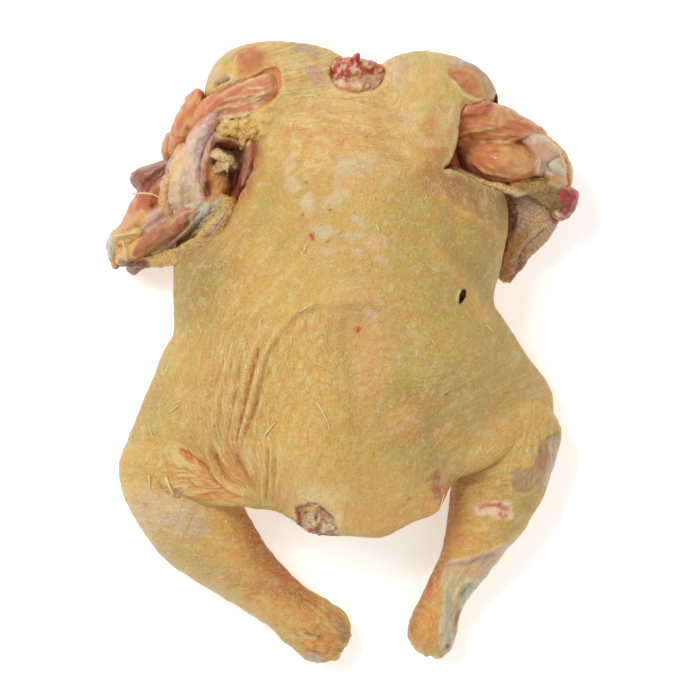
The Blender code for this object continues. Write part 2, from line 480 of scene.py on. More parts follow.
class Clay:
    """A piece's points in hand, in MM: moved along their normals, and painted."""

    STRONGEST = 2.5  # the streak height that is painted at full strength

    def __init__(self, piece, base="butter"):
        self.piece = piece
        count = len(piece.data.vertices)
        self.points = np.empty(count * 3)
        piece.data.vertices.foreach_get("co", self.points)
        self.points = self.points.reshape(-1, 3) / MM
        self.tint = np.tile(PALETTE[base], (count, 1))
        self.pimple = np.full(count, 0.5)
        self.wet = np.full(count, 0.3)
        self.furrow = np.zeros(count)
        self.weave = np.zeros((count, 3))
        self.feel()

    def feel(self):
        """Takes the normals of the surface as it is now."""
        mesh = self.piece.data
        mesh.vertices.foreach_set("co", (self.points * MM).ravel())
        mesh.update()
        normals = np.empty(len(self.points) * 3)
        mesh.vertex_normals.foreach_get("vector", normals)
        self.normals = normals.reshape(-1, 3)
        self.upper = ramp(self.normals[:, 2], -0.1, 0.25)
        nearer = (EYE_HEIGHT - EYE_LEVEL) / (EYE_HEIGHT - self.points[:, 2])
        self.plan = self.points[:, :2] * nearer[:, None]

    def near(self, path, reach):
        """Which points a stroke along the path can touch, seen from above."""
        path = np.array(path, float)
        low, high = path.min(axis=0) - reach, path.max(axis=0) + reach
        inside = ((self.plan > low) & (self.plan < high)).all(axis=1) & (self.upper > 0.0)
        return np.nonzero(inside)[0]

    def stroke(self, path, width, ragged=0.0, taper=0.15, lean=0.0):
        """A soft stroke's weight on the points it touches. Lean shifts it to the path's right."""
        touched = self.near(path, 3.0 * width + abs(lean))
        plan = self.plan[touched]
        if len(path) == 1:
            away = np.hypot(*(plan - np.array(path[0])).T)
            weight = np.ones(len(touched))
        else:
            away, side, along = measured(plan, path)
            if lean:
                away = np.abs(away * side - lean)
            weight = ramp(along, 0.0, taper) * ramp(1.0 - along, 0.0, taper) if taper else 1.0
        if ragged:
            away = away + ragged * width * cloud(self.points[touched], width)
        return touched, weight * np.exp(-((away / width) ** 2)) * self.upper[touched]

    def raised(self, path, width, height, **how):
        """Lifts the skin along a path, or presses it in where the height is below 0."""
        touched, weight = self.stroke(path, width, **how)
        self.points[touched] += self.normals[touched] * (weight * height)[:, None]

    def paint(self, path, width, colour, strength=1.0, **how):
        touched, weight = self.stroke(path, width, **how)
        self.cover(touched, weight * strength, colour)

    def painted(self, strokes, ragged, taper=0.1):
        """Paints all the strokes of a table."""
        for path, width, colour, strength in strokes:
            self.paint(path, width, colour, strength, ragged=ragged, taper=taper)

    def cover(self, touched, weight, colour):
        """Mixes a tone into the points touched, each by its own weight."""
        weight = np.clip(weight, 0.0, 1.0)[:, None]
        self.tint[touched] = self.tint[touched] * (1.0 - weight) + PALETTE[colour] * weight

    def patch(self, centre, half, colour, strength=1.0, edge=0.3, ragged=0.25, turn=0.0, seed=1):
        """Paints an oval patch with an edge that is soft by a share of its size."""
        weight, touched = self.oval(centre, half, edge, ragged, turn, seed)
        self.cover(touched, weight * strength, colour)

    def oval(self, centre, half, edge=0.3, ragged=0.25, turn=0.0, seed=1):
        """A weight of 1 inside an oval, and the points near it. Turn is in degrees."""
        reach = max(half) * (1.0 + ragged + edge)
        touched = self.near([centre], reach)
        offset = self.plan[touched] - np.array(centre)
        c, s = math.cos(math.radians(turn)), math.sin(math.radians(turn))
        u = (offset[:, 0] * c + offset[:, 1] * s) / half[0]
        v = (offset[:, 1] * c - offset[:, 0] * s) / half[1]
        away = np.hypot(u, v)
        if ragged:
            away = away + ragged * cloud(self.points[touched], min(half) * 0.8, seed)
        return (1.0 - ramp(away, 1.0 - edge, 1.0 + edge)) * self.upper[touched], touched

    def within(self, outline, low, high, ragged=0.0, seed=0):
        """A weight that grows from 0 to 1 between two depths inside a closed outline."""
        outline = rounded([*outline, outline[0]], 3)
        touched = self.near(outline, 3.0 + abs(low))
        plan = self.plan[touched]
        away, _, _ = measured(plan, outline, smooth=False)
        away = np.where(enclosed(plan, outline), away, -away)
        away = away + ragged * cloud(self.points[touched], 2.2, seed)
        return touched, ramp(away, low, high) * self.upper[touched]

    def lowered(self, outline, depth, low, high, ragged=0.0):
        """Presses the skin down inside a closed outline, more and more between two depths inside it."""
        touched, share = self.within(outline, low, high, ragged)
        self.points[touched, 2] -= depth * share
        return touched, share

    def fill(self, outline, colour, strength, edge=0.8, ragged=0.8):
        """Paints the inside of a closed outline, with a soft ragged edge."""
        touched, share = self.within(outline, -edge, edge, ragged, len(outline))
        self.cover(touched, share * strength, colour)

    def mottled(self, outline, colours, size, strength=0.8):
        """Paints small irregular spots of each colour inside a closed outline."""
        touched, share = self.within(outline, -0.5, 0.6, 0.8)
        for index, colour in enumerate(colours):
            lumps = cloud(self.points[touched], size, 70 + index)
            self.cover(touched, strength * share * ramp(lumps, 0.05, 0.4), colour)

    def tugged(self, tugs):
        """Shifts whole parts of the form sideways, each tug fading out around its place."""
        for place, shift, reach in tugs:
            away = np.hypot(*(self.plan - np.array(place, float)).T)
            self.points[:, :2] += np.exp(-((away / reach) ** 2))[:, None] * np.array(shift, float)
        self.feel()

    def wrinkled(self, grain, height):
        """Raises the skin along the grain's streaks."""
        streaks, strength, self.weave[:, 0], self.weave[:, 1] = grain.at(self.plan)
        self.strength = strength
        self.furrow = np.clip(strength, 0.0, 1.0) * self.upper
        self.streaks = streaks * strength * self.upper
        self.swollen(self.streaks * height)

    def streaked(self, dark, dark_strength, pale, pale_strength):
        """Paints the streaks' hollows dark and their crests pale: partly their own tones, partly painted
        shade in the hollows and painted highlight on the crests.
        """
        for way, colour, strength in ((-1.0, dark, dark_strength), (1.0, pale, pale_strength)):
            self.cover(slice(None), strength * np.clip(way * self.streaks / self.STRONGEST, 0.0, 1.0), colour)

    def swollen(self, heights):
        """Moves every point out along its normal by its own height."""
        self.points += self.normals * heights[:, None]

    def laid(self):
        """Keeps every point on or above the lying surface."""
        self.points[:, 2] = np.maximum(self.points[:, 2], SURFACE)

    def top(self, place):
        """The skin's height at a plan place."""
        away = np.hypot(*(self.plan - np.array(place, float)).T)
        close = away < 1.4
        return self.points[close, 2].max() if close.any() else 0.0

    def finish(self):
        """Gives the mesh its points and, as attributes, what the materials read."""
        mesh = self.piece.data
        mesh.vertices.foreach_set("co", (self.points * MM).ravel())
        mesh.update()
        for name, values in (("pimple", self.pimple), ("wet", self.wet), ("furrow", self.furrow)):
            mesh.attributes.new(name, "FLOAT", "POINT").data.foreach_set("value", values)
        weave = mesh.attributes.new("weave", "FLOAT_VECTOR", "POINT")
        weave.data.foreach_set("vector", (self.weave * MM).ravel())
        colours = np.hstack([self.tint, np.ones((len(self.tint), 1))])
        mesh.attributes.new("tint", "FLOAT_COLOR", "POINT").data.foreach_set("color", colours.ravel())
        select([self.piece])
        bpy.ops.object.shade_smooth()


# ---------------------------------------------------------------- shaders


class Socket:
    """A socket or a number in a material's maths."""

    def __init__(self, shader, value):
        self.shader, self.value = shader, value

    def maths(self, operation, *others):
        inputs = dict(enumerate((self, *others)))
        return self.shader.node("ShaderNodeMath", dict(operation=operation), inputs)

    def __add__(self, other):
        return self.maths("ADD", other)

    def __sub__(self, other):
        return self.maths("SUBTRACT", other)

    def __rsub__(self, other):
        return Socket(self.shader, other).maths("SUBTRACT", self)

    def __mul__(self, other):
        return self.maths("MULTIPLY", other)

    __radd__ = __add__
    __rmul__ = __mul__

    def between(self, low, high):
        """0 at low and 1 at high, with a smooth slope."""
        settings = dict(interpolation_type="SMOOTHSTEP")
        return self.shader.node("ShaderNodeMapRange", settings, {"Value": self, 1: low, 2: high}, "Result")


class Shader:
    """A new material and its nodes."""

    def __init__(self, name):
        self.material = bpy.data.materials.new(name)
        self.material.use_nodes = True
        self.tree = self.material.node_tree
        self.surface = self.tree.nodes["Principled BSDF"]

    def node(self, kind, settings, inputs, output=0):
        """Adds a node of a kind: its settings first, then values or links for its sockets."""
        made = self.tree.nodes.new(kind)
        for key, value in settings.items():
            setattr(made, key, value)
        for key, value in inputs.items():
            self.feed(made.inputs[key], value)
        return Socket(self, made.outputs[output])

    def feed(self, socket, value):
        value = getattr(value, "value", value)
        if isinstance(value, bpy.types.NodeSocket):
            self.tree.links.new(value, socket)
        else:
            socket.default_value = value

    def set(self, **inputs):
        for key, value in inputs.items():
            self.feed(self.surface.inputs[key.replace("_", " ")], value)

    def attribute(self, name, output="Fac"):
        return self.node("ShaderNodeAttribute", dict(attribute_name=name), {}, output)

    def place(self):
        return self.node("ShaderNodeTexCoord", {}, {}, "Object")

    def scaled(self, where, shares):
        """Places drawn out or squeezed along each axis."""
        return self.node("ShaderNodeVectorMath", dict(operation="MULTIPLY"), {0: where, 1: shares})

    def noise(self, size, where, detail, rough, stretch=0.0):
        """Noise from 0 to 1 with lumps of about the given size in MM."""
        inputs = {"Vector": where, "Scale": 1.0 / (size * MM), "Detail": detail}
        inputs |= {"Roughness": rough, "Distortion": stretch}
        return self.node("ShaderNodeTexNoise", {}, inputs, "Fac")

    def cells(self, size, where):
        """Distance from the middles of cells of about the given size in MM."""
        inputs = {"Vector": where, "Scale": 1.0 / (size * MM), "Randomness": 1.0}
        return self.node("ShaderNodeTexVoronoi", {}, inputs, "Distance")

    def mixed(self, share, one, other, blend="MIX"):
        """Colours mixed: all one at 0, all other at 1."""
        settings = dict(data_type="RGBA", blend_type=blend)
        pair = [c if isinstance(c, Socket) else (*map(float, c), 1.0) for c in (one, other)]
        return self.node("ShaderNodeMix", settings, {0: share, 6: pair[0], 7: pair[1]}, 2)

    def bump(self, height, distance, under=None):
        """Relief of the given height in MM."""
        inputs = {"Height": height, "Distance": distance * MM, "Strength": 1.0}
        if under:
            inputs["Normal"] = under
        return self.node("ShaderNodeBump", {}, inputs, "Normal")


def skin_finish(name):
    """Moist yellow skin: painted tones, blotches, fine wrinkles with painted shade in their grooves, and
    follicles as pale yellow dots.
    """
    shader = Shader(name)
    tint = shader.attribute("tint", "Color")
    pimple = shader.attribute("pimple")
    wet = shader.attribute("wet")
    furrow = shader.attribute("furrow")
    weave = shader.attribute("weave", "Vector")
    place = shader.place()
    dry = 1.0 - wet.between(0.5, 0.85)
    motley = shader.noise(7.0, place, detail=3.0, rough=0.6)
    blotch = shader.noise(2.8, place, detail=4.0, rough=0.65, stretch=0.5)
    speck = shader.noise(1.4, place, detail=3.0, rough=0.6)
    fine = shader.noise(0.7, place, detail=4.0, rough=0.7)
    pale = shader.noise(4.6, place, detail=3.0, rough=0.6, stretch=0.6)
    lines = shader.noise(1.3, shader.scaled(weave, (1.0, 0.17, 1.0)), detail=3.0, rough=0.6, stretch=0.4)
    fold = (lines - 0.5).maths("ABSOLUTE")
    crease_shade = (1.0 - fold.between(0.0, 0.05)) * furrow
    ridge = fold.between(0.0, 0.13) * furrow
    warm = shader.mixed(1.0, tint, (1.06, 0.90, 0.76), "MULTIPLY")
    green = shader.mixed(1.0, tint, (0.93, 1.02, 0.80), "MULTIPLY")
    colour = shader.mixed(motley.between(0.42, 0.62) * dry * 0.9, tint, warm)
    colour = shader.mixed(blotch.between(0.52, 0.64) * dry * 0.8, colour, green)
    colour = shader.mixed(blotch.between(0.47, 0.32) * dry * 0.5, colour, PALETTE["smoke"])
    colour = shader.mixed(speck.between(0.55, 0.68) * dry * 0.32, colour, tone(226, 194, 84))
    colour = shader.mixed(speck.between(0.44, 0.32) * dry * 0.5, colour, PALETTE["orange"])
    colour = shader.mixed(pale.between(0.53, 0.68) * dry * 0.3, colour, tone(224, 206, 152))
    colour = shader.mixed(pale.between(0.45, 0.33) * dry * 0.25, colour, tone(206, 146, 66))
    # The wrinkles' grooves are darkened towards red brown: painted shade in the grooves.
    colour = shader.mixed(crease_shade * 0.56, colour, shader.mixed(1.0, tint, (0.90, 0.56, 0.34), "MULTIPLY"))
    colour = shader.mixed(ridge * 0.42, colour, tone(232, 206, 134))
    colour = shader.mixed(1.0, colour, grey(0.67 + 0.68 * fine, shader), "MULTIPLY")
    cells = shader.cells(2.5, shader.scaled(place, (1.0, 1.0, 0.5)))
    bead = (1.0 - cells.between(0.05, 0.5)) * pimple
    dot = (1.0 - cells.between(0.05, 0.3)) * pimple
    colour = shader.mixed(dot * 0.36, colour, tone(234, 208, 126))
    relief = shader.bump(bead, 0.3)
    relief = shader.bump(ridge, 0.34, under=relief)
    relief = shader.bump(blotch, 0.8, under=relief)
    relief = shader.bump(fine, 0.35, under=relief)
    shader.set(Base_Color=colour, Roughness=0.6 - 0.3 * wet + 0.1 * fine, Normal=relief)
    shader.set(Subsurface_Weight=0.1, Subsurface_Scale=0.003, Subsurface_Radius=(1.0, 0.45, 0.2))
    shader.set(Specular_IOR_Level=0.45)
    return shader.material


def wet_finish(name, depth, radius, coat, fibre, granules=0.0):
    """Wet tissue: painted tones, fine fibres, specks, granules with painted shade in the gaps between them,
    and small sharp glints.
    """
    shader = Shader(name)
    tint = shader.attribute("tint", "Color")
    furrow = shader.attribute("furrow")
    weave = shader.attribute("weave", "Vector")
    place = shader.place()
    mottle = shader.noise(3.0, place, detail=4.0, rough=0.65)
    fine = shader.noise(0.9, place, detail=3.0, rough=0.6, stretch=0.6)
    strands = shader.noise(0.9, shader.scaled(weave, (1.0, 0.1, 1.0)), detail=3.0, rough=0.6, stretch=0.3)
    colour = shader.mixed(1.0, tint, grey(0.78 + 0.36 * mottle, shader), "MULTIPLY")
    colour = shader.mixed(1.0, colour, grey(0.88 + 0.24 * fine, shader), "MULTIPLY")
    light = strands.between(0.54, 0.7) * furrow * fibre
    dark = strands.between(0.46, 0.3) * furrow * fibre
    colour = shader.mixed(light * 0.4, colour, PALETTE["pearl"])
    colour = shader.mixed(dark * 0.4, colour, PALETTE["brick"])
    relief = shader.bump(mottle, 0.7)
    if granules:
        cells = shader.cells(1.7, shader.scaled(place, (1.0, 1.0, 0.6)))
        gap = cells.between(0.32, 0.62) * granules
        # The gaps between the granules are darkened: painted shade.
        colour = shader.mixed(gap * 0.22, colour, shader.mixed(1.0, tint, (0.84, 0.62, 0.38), "MULTIPLY"))
        relief = shader.bump(1.0 - gap, 0.6, under=relief)
    relief = shader.bump(strands * furrow, 0.45 * fibre, under=relief)
    relief = shader.bump(fine, 0.4, under=relief)
    shader.set(Base_Color=colour, Roughness=0.36 + 0.2 * mottle, Normal=relief)
    shader.set(Coat_Weight=coat, Coat_Roughness=0.12)
    shader.set(Subsurface_Weight=depth, Subsurface_Scale=0.004, Subsurface_Radius=radius)
    return shader.material


def grey(value, shader):
    """A number as a grey colour."""
    return shader.node("ShaderNodeCombineColor", {}, {0: value, 1: value, 2: value}, "Color")


# ---------------------------------------------------------------- body


# The back's sections: y, middle x, half width, underside and top.
BACK = (
    (114, 4, 38, 24, 70),
    (104, 3, 50, 6, 79),
    (88, 4, 57, -3, 85),
    (68, 6, 68, -8, 88),
    (44, -3, 77, -10, 89),
    (24, -5, 74, -8, 86),
    (0, -3, 70, -5, 84),
    (-24, 1, 65, 2, 81),
    (-42, 3, 60, 12, 76),
    (-58, 6, 53, 24, 68),
    (-69, 9, 41, 34, 60),
)

# What is melted onto the back: name, sides and bluntness of each limb, then its stations.
BODY_MASSES = rows("""
left_shoulder 16 0.8: -45 113.5 54 25.5 23, -30 115 56 27 23, -10 113 54 25 21
right_shoulder 16 0.8: 28 111.5 54 25 23, 41 112 55 25 23, 51.5 109 52 23 22
right_flank 12 0.9: 54 84 42 14 18, 59 66 42 17 24, 60 46 40 13 26, 56 26 38 11 24
neck_base 12 0.4: 5 104 56 18 17, 5 118 56 15 13, 5 123 56 12 10
left_thigh 16 0.9: -34 -4 46 42 36, -58 -27 40 36 33, -72 -43 31 29 28
left_bag 12 0.9: -87 -49 30 16 18, -66 -54 36 15 19, -44 -57 42 11 18
right_thigh 16 0.9: 38 -6 46 42 36, 57 -20 40 37 32, 74 -26 30 27 25
right_lip 12 0.9: 50 -46 44 9 13, 64 -39.5 40 10 14, 82 -28 32 10 14
""")


def body_masses():
    """Rib cage and belly, shoulders, neck's base and both thighs."""
    torso = [(x, y, (low + top) / 2, wide, (top - low) / 2) for y, x, wide, low, top in BACK]
    others = [limb(name, stations, int(sides), blunt) for stations, name, sides, blunt in BODY_MASSES]
    return [limb("torso", torso, 24, 0.6), *others]


# Lines that the skin's fine wrinkles follow, each with its strength.
BODY_LINES = rows("""
0.75: -20 112, 0 114, 21 110
0.75: -20 100.5, 0 102, 24 99.5
0.55: -19.5 88, 2 90.5, 25 88
0.2: -16 76, 2 79, 19.5 82.5
0.1: -34.5 106, -37.5 92, -42 74
0.05: -7 61, 20 63, 38 54
0.1: 34 119, 36 101, 39 83
0.15: 43 70, 49.5 47, 60 20
0.1: 65 63, 64.5 43, 63.5 20
0.1: -7 38, 11 36, 29 31.5
0.15: -20 70, -34 50, -47 34
0.45: -47 34, -58 13.5, -62.5 -7, -63.5 -25
0.2: -12 52, -29 31.5, -43 16.5
0.8: -43 16.5, -51 2, -55.5 -20, -56 -38, -51 -53.5
0.8: -31 11.5, -38 -5, -43 -21, -46 -35, -47 -44, -41 -61
0.15: -70 38, -72.5 20, -78 4.5
0.35: -70 2, -78 -16, -83 -34, -85 -46.5
1: -79.5 -48, -65 -53.5, -51 -61, -40 -64.5
0.7: -88 -58.5, -70 -64, -52 -66.5
0.55: -12.5 11, -22 -7, -31 -29, -34.5 -52, -35.5 -67.5
0.4: -4 -20, -12 -38, -20 -56, -25 -70
0.25: 1.5 11, 0.5 -20, 2 -52, -0.5 -74
0.2: 12 -20, 16 -43, 17.5 -74
0.45: 45 -66, 54.5 -52.5, 72 -43.5, 90 -31.5
0.35: 34 -56, 45.5 -38, 68 -25, 90.5 -14
0.3: 27 -74, 36 -65, 42 -55.5
""")


# Where the skin is torn or cut away: an outline, how far the skin around it slopes down, how deep
# it falls, how wide its edge is, and what shows inside and on its walls. Under the left wing the
# inside is liver and the walls bark: dark flesh with painted shade in the deep opening.
OPENINGS = rows("""
0.6 2.4 1 salmon butter: -59.4 118.8, -56.2 120.2, -50 122.6, -43.6 125.3, -37.4 127.8, -31.9 130.1,
    -29.2 127.8, -28.4 123.3, -29.2 118.8, -31.9 114.8, -36.5 112, -41.9 109.8, -45.5 107.5, -49.1 105.3,
    -53.6 106.2, -59 107.1, -64.4 109.8, -67 114.3, -63.5 116.5
9 18 1.4 liver bark: -49.1 106.7, -45.9 104.9, -46.8 102.2, -44.1 99.5, -45 97.2, -42.3 95.4, -41 91.4,
    -41.9 87.8, -41.4 84.2, -43.2 79.7, -45.5 75.2, -47.7 71.5, -48.6 68.4, -51.3 64.8, -53.6 60.3,
    -58.1 54.9, -63 50, -68.9 46.4, -76 43.2, -87.8 41, -101.2 41.9, -108 56.2, -101.2 74.2, -83.2 105.8,
    -69.8 112.5, -60.8 109.4, -54.5 107.1
2 18 1.2 brick cream: 54.5 113, 52.2 109.8, 51.3 104.9, 50.4 96.8, 48.1 89.5, 44.6 84.2, 48.1 83.7,
    56.2 80.1, 63.5 76.5, 72.5 73.8, 90 76, 96.8 92.2, 83.2 114.8, 69.8 118.4, 66.2 114.8, 62.6 113.9,
    58.1 112.6
0.8 3 1.2 coral cream: 0.9 144, -0.9 136.3, -3.1 133.7, -6.3 131, -7.2 127.8, -6.8 124.2, -4 121,
    -0.5 119.2, 4 118.8, 9.5 118.8, 14.4 120.2, 17.6 123.3, 18.9 126.9, 17.6 130.1, 14.8 132.8, 14 144
0.6 2.2 0.8 tan cream: -22.9 -68.9, -20.7 -67.5, -18.4 -68, -16.2 -66.2, -13.1 -66.6, -10.3 -68,
    -7.2 -70.7, -4.5 -73.4, -3.6 -77, -3.1 -84.2, -22.9 -84.2, -21.6 -78.8, -21.2 -73.8
""")


def body_openings(clay):
    """Torn and cut places: the skin slopes down to a rim, then falls to wet flesh."""
    for outline, slope, depth, edge, colour, wall in OPENINGS:
        clay.lowered(outline, slope, -0.9 * slope - 1.0, 1.0)
        clay.paint([*outline, outline[0]], 1.6, wall, 0.6, ragged=0.5, taper=0.0)
        touched, share = clay.lowered(outline, depth, 0.0, edge, 0.4)
        clay.cover(touched, 1.3 * share, colour)
        clay.pimple[touched] *= 1.0 - share
        clay.furrow[touched] *= 1.0 - share
        clay.wet[touched] += (0.9 - clay.wet[touched]) * share


# The left shoulder's joint under its thin veil of skin, and the window in the right shoulder.
SHOULDER_AREAS = rows("""
gold 0.5: -59.4 122, -58.1 126.5, -55.4 130.5, -51.8 134.1, -48.1 133.7, -49.1 129.2, -49.1 124.7,
    -54.5 122.4
meat 1: -48.6 131.8, -47.2 135.9, -43.6 138.2, -39.1 138.6, -35.6 137.2, -34.2 133.7, -34.6 129.2,
    -38.2 126.5, -43.6 124.7, -47.7 124.7
salmon 0.85: -35.6 136.8, -32.9 134.6, -30.6 130.5, -30.6 128.2, -35.6 126.9, -34.6 131.8
rust 0.5: -47.2 129.2, -46.4 135, -42.8 137.2, -37.4 135.9, -36 130.1, -41.9 126, -46.8 126
tan 0.95: 45.9 131, 52.6 133.7, 58.1 131.8, 63.5 127.4, 67 121, 69.3 113, 63.9 115.2, 62.6 119.7,
    59.9 125.1, 55.4 128.7, 50 129.6
lilac 0.5: 52.6 132.8, 59 131, 64.4 125.5, 66.2 120.2, 63.5 122, 59 127.8
meat 1: 46.4 128.7, 50 129.6, 55.4 129.2, 59.4 126.5, 62.1 122, 63.5 116.1, 61.6 115.2, 58.5 116.1,
    54 119.7, 50.4 122, 47.2 125.1
brick 0.5: 46.8 127.8, 50 127.8, 53.6 123.8, 58.1 119.2, 62.6 116.1, 59 116.1, 53.6 120.2, 48.6 123.8
salmon 0.6: 56.2 128.2, 59.9 125.5, 62.1 120.2, 60.3 120.2, 57.6 124.7
brick 0.8: 51.8 113.4, 56.2 115.2, 61.6 114.3, 66.2 113.4, 67 109.4, 60.8 107.5, 52.6 108.5
gore 0.5: 62.6 114.8, 66.2 113.9, 67 109.4, 63.5 109.4
""")

# In the slit at the left shoulder's edge, the umber, pit and wine strokes are dark flesh with painted shade
# inside the slit.
SHOULDER_STROKES = rows("""
1 olive 0.7: -54.5 130.1, -51.3 133.7, -47.2 137.2
0.5 bark 0.7: -51.3 131.8, -49.1 135, -45.9 137.5
1.2 apricot 0.6: -48.1 123.8, -42.8 124.2, -37.4 126
0.7 butter 0.9: -35.6 133.7, -33.8 131.4
0.7 cream 0.8: -32.9 133.2, -31.9 130.1
0.6 butter 0.8: -36.5 129.6, -33.8 128.2
0.5 gold 0.8: -37.4 132.3, -36 130.1
1 gold 0.8: -52.2 125.5, -50.9 128.2, -48.1 131
1 moss 0.6: -55.8 124.2, -53.6 126.5
1.2 lilac 0.7: -61.2 122, -59 125.5, -56.7 128.2
1.5 lilac 0.75: -59.9 120.2, -57.1 122.4, -54 124.2, -50.9 125.1
0.9 umber 0.85: -59.4 120.6, -57.1 122.6, -54 124, -51.8 124.9
0.5 pit 0.95: -54.5 123.5, -52.2 124.4
0.5 wine 0.9: -58.5 121.5, -57.1 122.9
0.4 cream 0.9: -53.1 125.5, -50.9 125.5, -50.9 124.4
1 bluish 0.95: -58.5 119.2, -55.4 120.6, -52.2 122.2, -49.1 124
0.6 cream 0.9: -62.6 115.2, -59.4 117.7, -55.4 119.2, -47.2 123.3, -39.1 126.5, -30.6 129.6
1.6 veil 0.75: 46.8 131.8, 50.4 132.3, 53.6 131.4
2 moss 0.6: 55.4 132.8, 60.8 127.4, 64.4 120.2
1 lilac 0.6: 62.1 125.5, 64.8 120.2, 66.6 114.8
0.6 butter 0.6: 46.8 127.4, 51.8 128.2, 56.2 127.1, 59.9 124.2, 61.6 119.7, 62.6 115.7
1.3 butter 0.85: 42.8 122, 48.1 121, 51.8 117.5, 56.2 114.3, 60.3 113.6, 63 114.8
0.6 cream 0.95: 48.1 124.2, 50.4 120.2, 54 117, 58.1 114.8, 62.1 115
0.8 salmon 0.7: 56.2 124.7, 59 121
""")


SHOULDER_RELIEF = rows("""
6 1.2: -42.8 132.8
0.9 -2: -59.4 120.6, -57.1 122.6, -54 124, -51.8 124.9
0.9 0.9: -58.5 119.2, -55.4 120.6, -52.2 122.2, -49.1 124
0.6 0.6: -62.6 115.2, -55.4 119.2, -47.2 123.3, -39.1 126.5, -30.6 129.6
1.2 0.7: -49.1 126.5, -48.6 131.8, -45.9 136.3
3 -1: 53.1 122, 56.7 119.2, 60.3 116.5
0.7 0.6: 46.8 127.4, 51.8 128.2, 56.2 127.1, 59.9 124.2, 61.6 119.7, 62.6 115.7
1 1.4: 48.1 124.2, 50.4 120.2, 54 117, 58.1 114.8, 63 114.8
""")


def shoulders(clay):
    """The joint under the left shoulder's skin, and the window in the right one."""
    for path, width, height in SHOULDER_RELIEF:
        clay.raised(path, width, height)
    for outline, colour, strength in SHOULDER_AREAS:
        clay.fill(outline, colour, strength, 0.8, 0.6)
    joint, window = SHOULDER_AREAS[1][0], SHOULDER_AREAS[6][0]
    clay.mottled(joint, ("coral", "gold", "bark"), 2.6, 0.35)
    clay.mottled(window, ("bark", "apricot", "coral"), 2.2, 0.4)
    clay.painted(SHOULDER_STROKES, 0.4)
    for centre, half in (((-46.4, 130.1), (16, 10)), ((55.4, 123.8), (9, 11))):
        weight, touched = clay.oval(centre, half)
        clay.pimple[touched] *= 1.0 - weight
        clay.furrow[touched] *= 1.0 - weight
        clay.wet[touched] += 0.5 * weight


# Lumps of fat under the skin beside the left wing: places with their half widths.
FAT_LUMPS = (
    *(((-44.6, 107.1), 2.2), ((-41.4, 105.3), 2.4), ((-38.2, 107.5), 2.2), ((-35.6, 110.7), 2.0)),
    *(((-38.7, 102.6), 2.2), ((-42.8, 101.7), 2.0), ((-34.6, 106.2), 2.0), ((-32.4, 112.5), 1.8)),
    *(((-40.1, 98.5), 1.8), ((-43.6, 97.7), 1.6), ((-36.5, 99.9), 1.6)),
)


def fat_lumps(clay):
    for place, width in FAT_LUMPS:
        clay.raised([place], width, 1.3, ragged=0.4)
        clay.paint([place], 0.9 * width, "corn", 0.75, ragged=0.4)
    # A bark spot on each lump's edge towards the tail and the bird's left is painted shade beside the lump.
    for place, width in FAT_LUMPS[1:]:
        x, y = place
        clay.paint([(x - 0.9 * width, y - 0.7 * width)], 0.6, "bark", 0.5, ragged=0.4)


# The broad hollows and swells of the back and rump, with half widths and heights: some as even all
# along their paths, some that fade out at both ends.
BROAD_RELIEF = rows("""
18 1.2: 0 101, 2 83
9 1.6: -20 4.5, -12 16.5, 0 22.5
9 1.4: 12 25, 22.5 25, 34 21
9 -3: 5 11, 7.5 -20, 12 -52, 16 -74
15 -3: 25 -25.5, 34 -34
16 1.6: -12 -20, -15 -47
5 -2.6: 47 -58, 45.5 -52, 43 -45, 43 -34
5 1.4: 54.5 -54.5, 70 -47, 90.5 -34.5
5 -0.9: 25.7 11.2, 30.2 1.4, 29.2 -11.2
6 -0.9: 0 11.2, 1.8 -2.2, 3.1 -20.2
6 -1.8: 45 78.8, 56.2 73.4, 71.5 67.5
4 -1.3: 49.5 51.8, 58.1 39.1, 65.2 24.8
5 1.5: 56 67.5, 59 47, 63.5 25, 70 9
6 -1.6: 49.5 63, 52.5 43, 56 25
6 1.6: -37.5 101, -37.5 88, -42 70, -47 58.5
7 -1.2: -27 106, -28.5 83, -34 61
8 1.4: 27 115, 33 99, 43 85.5
7 -1.6: 21 110, 25 92, 34 74
""")

FADING_RELIEF = rows("""
22 2: 34 -7
14 1.8: 27 -61
1.6 0.9: -21.5 20.5, -17.5 22.5, -12.5 23.5
2.4 0.8: -2 22.5, 7 25.5, 17.5 26
3.2 1: -39.1 -0.5, -33.8 9.5, -27.4 17.6, -21.2 20.7, -14 22.1, -5.9 23.9, 6.8 25.2, 17.6 22.5, 23.4 16.7
3 -0.4: -34.6 -3.1, -29.2 6.8, -23.9 14, -17.6 17.1, -5 19.8, 7.7 20.7
2.4 1.3: 41.9 79.7, 45.5 70.7, 52.6 65.2, 63 59.9, 72.5 51.8
2.6 1.2: 38.2 50, 48.1 38.2, 56.2 28.4, 61.6 19.4, 67 10.3
""")


def back_relief(clay):
    for path, width, height in BROAD_RELIEF:
        clay.raised(path, width, height, taper=0.0)
    for path, width, height in FADING_RELIEF:
        clay.raised(path, width, height)
    clay.raised([(-21.5, 20), (-16.5, 20.5), (-12, 21.5)], 1.8, -0.7, lean=1.5)


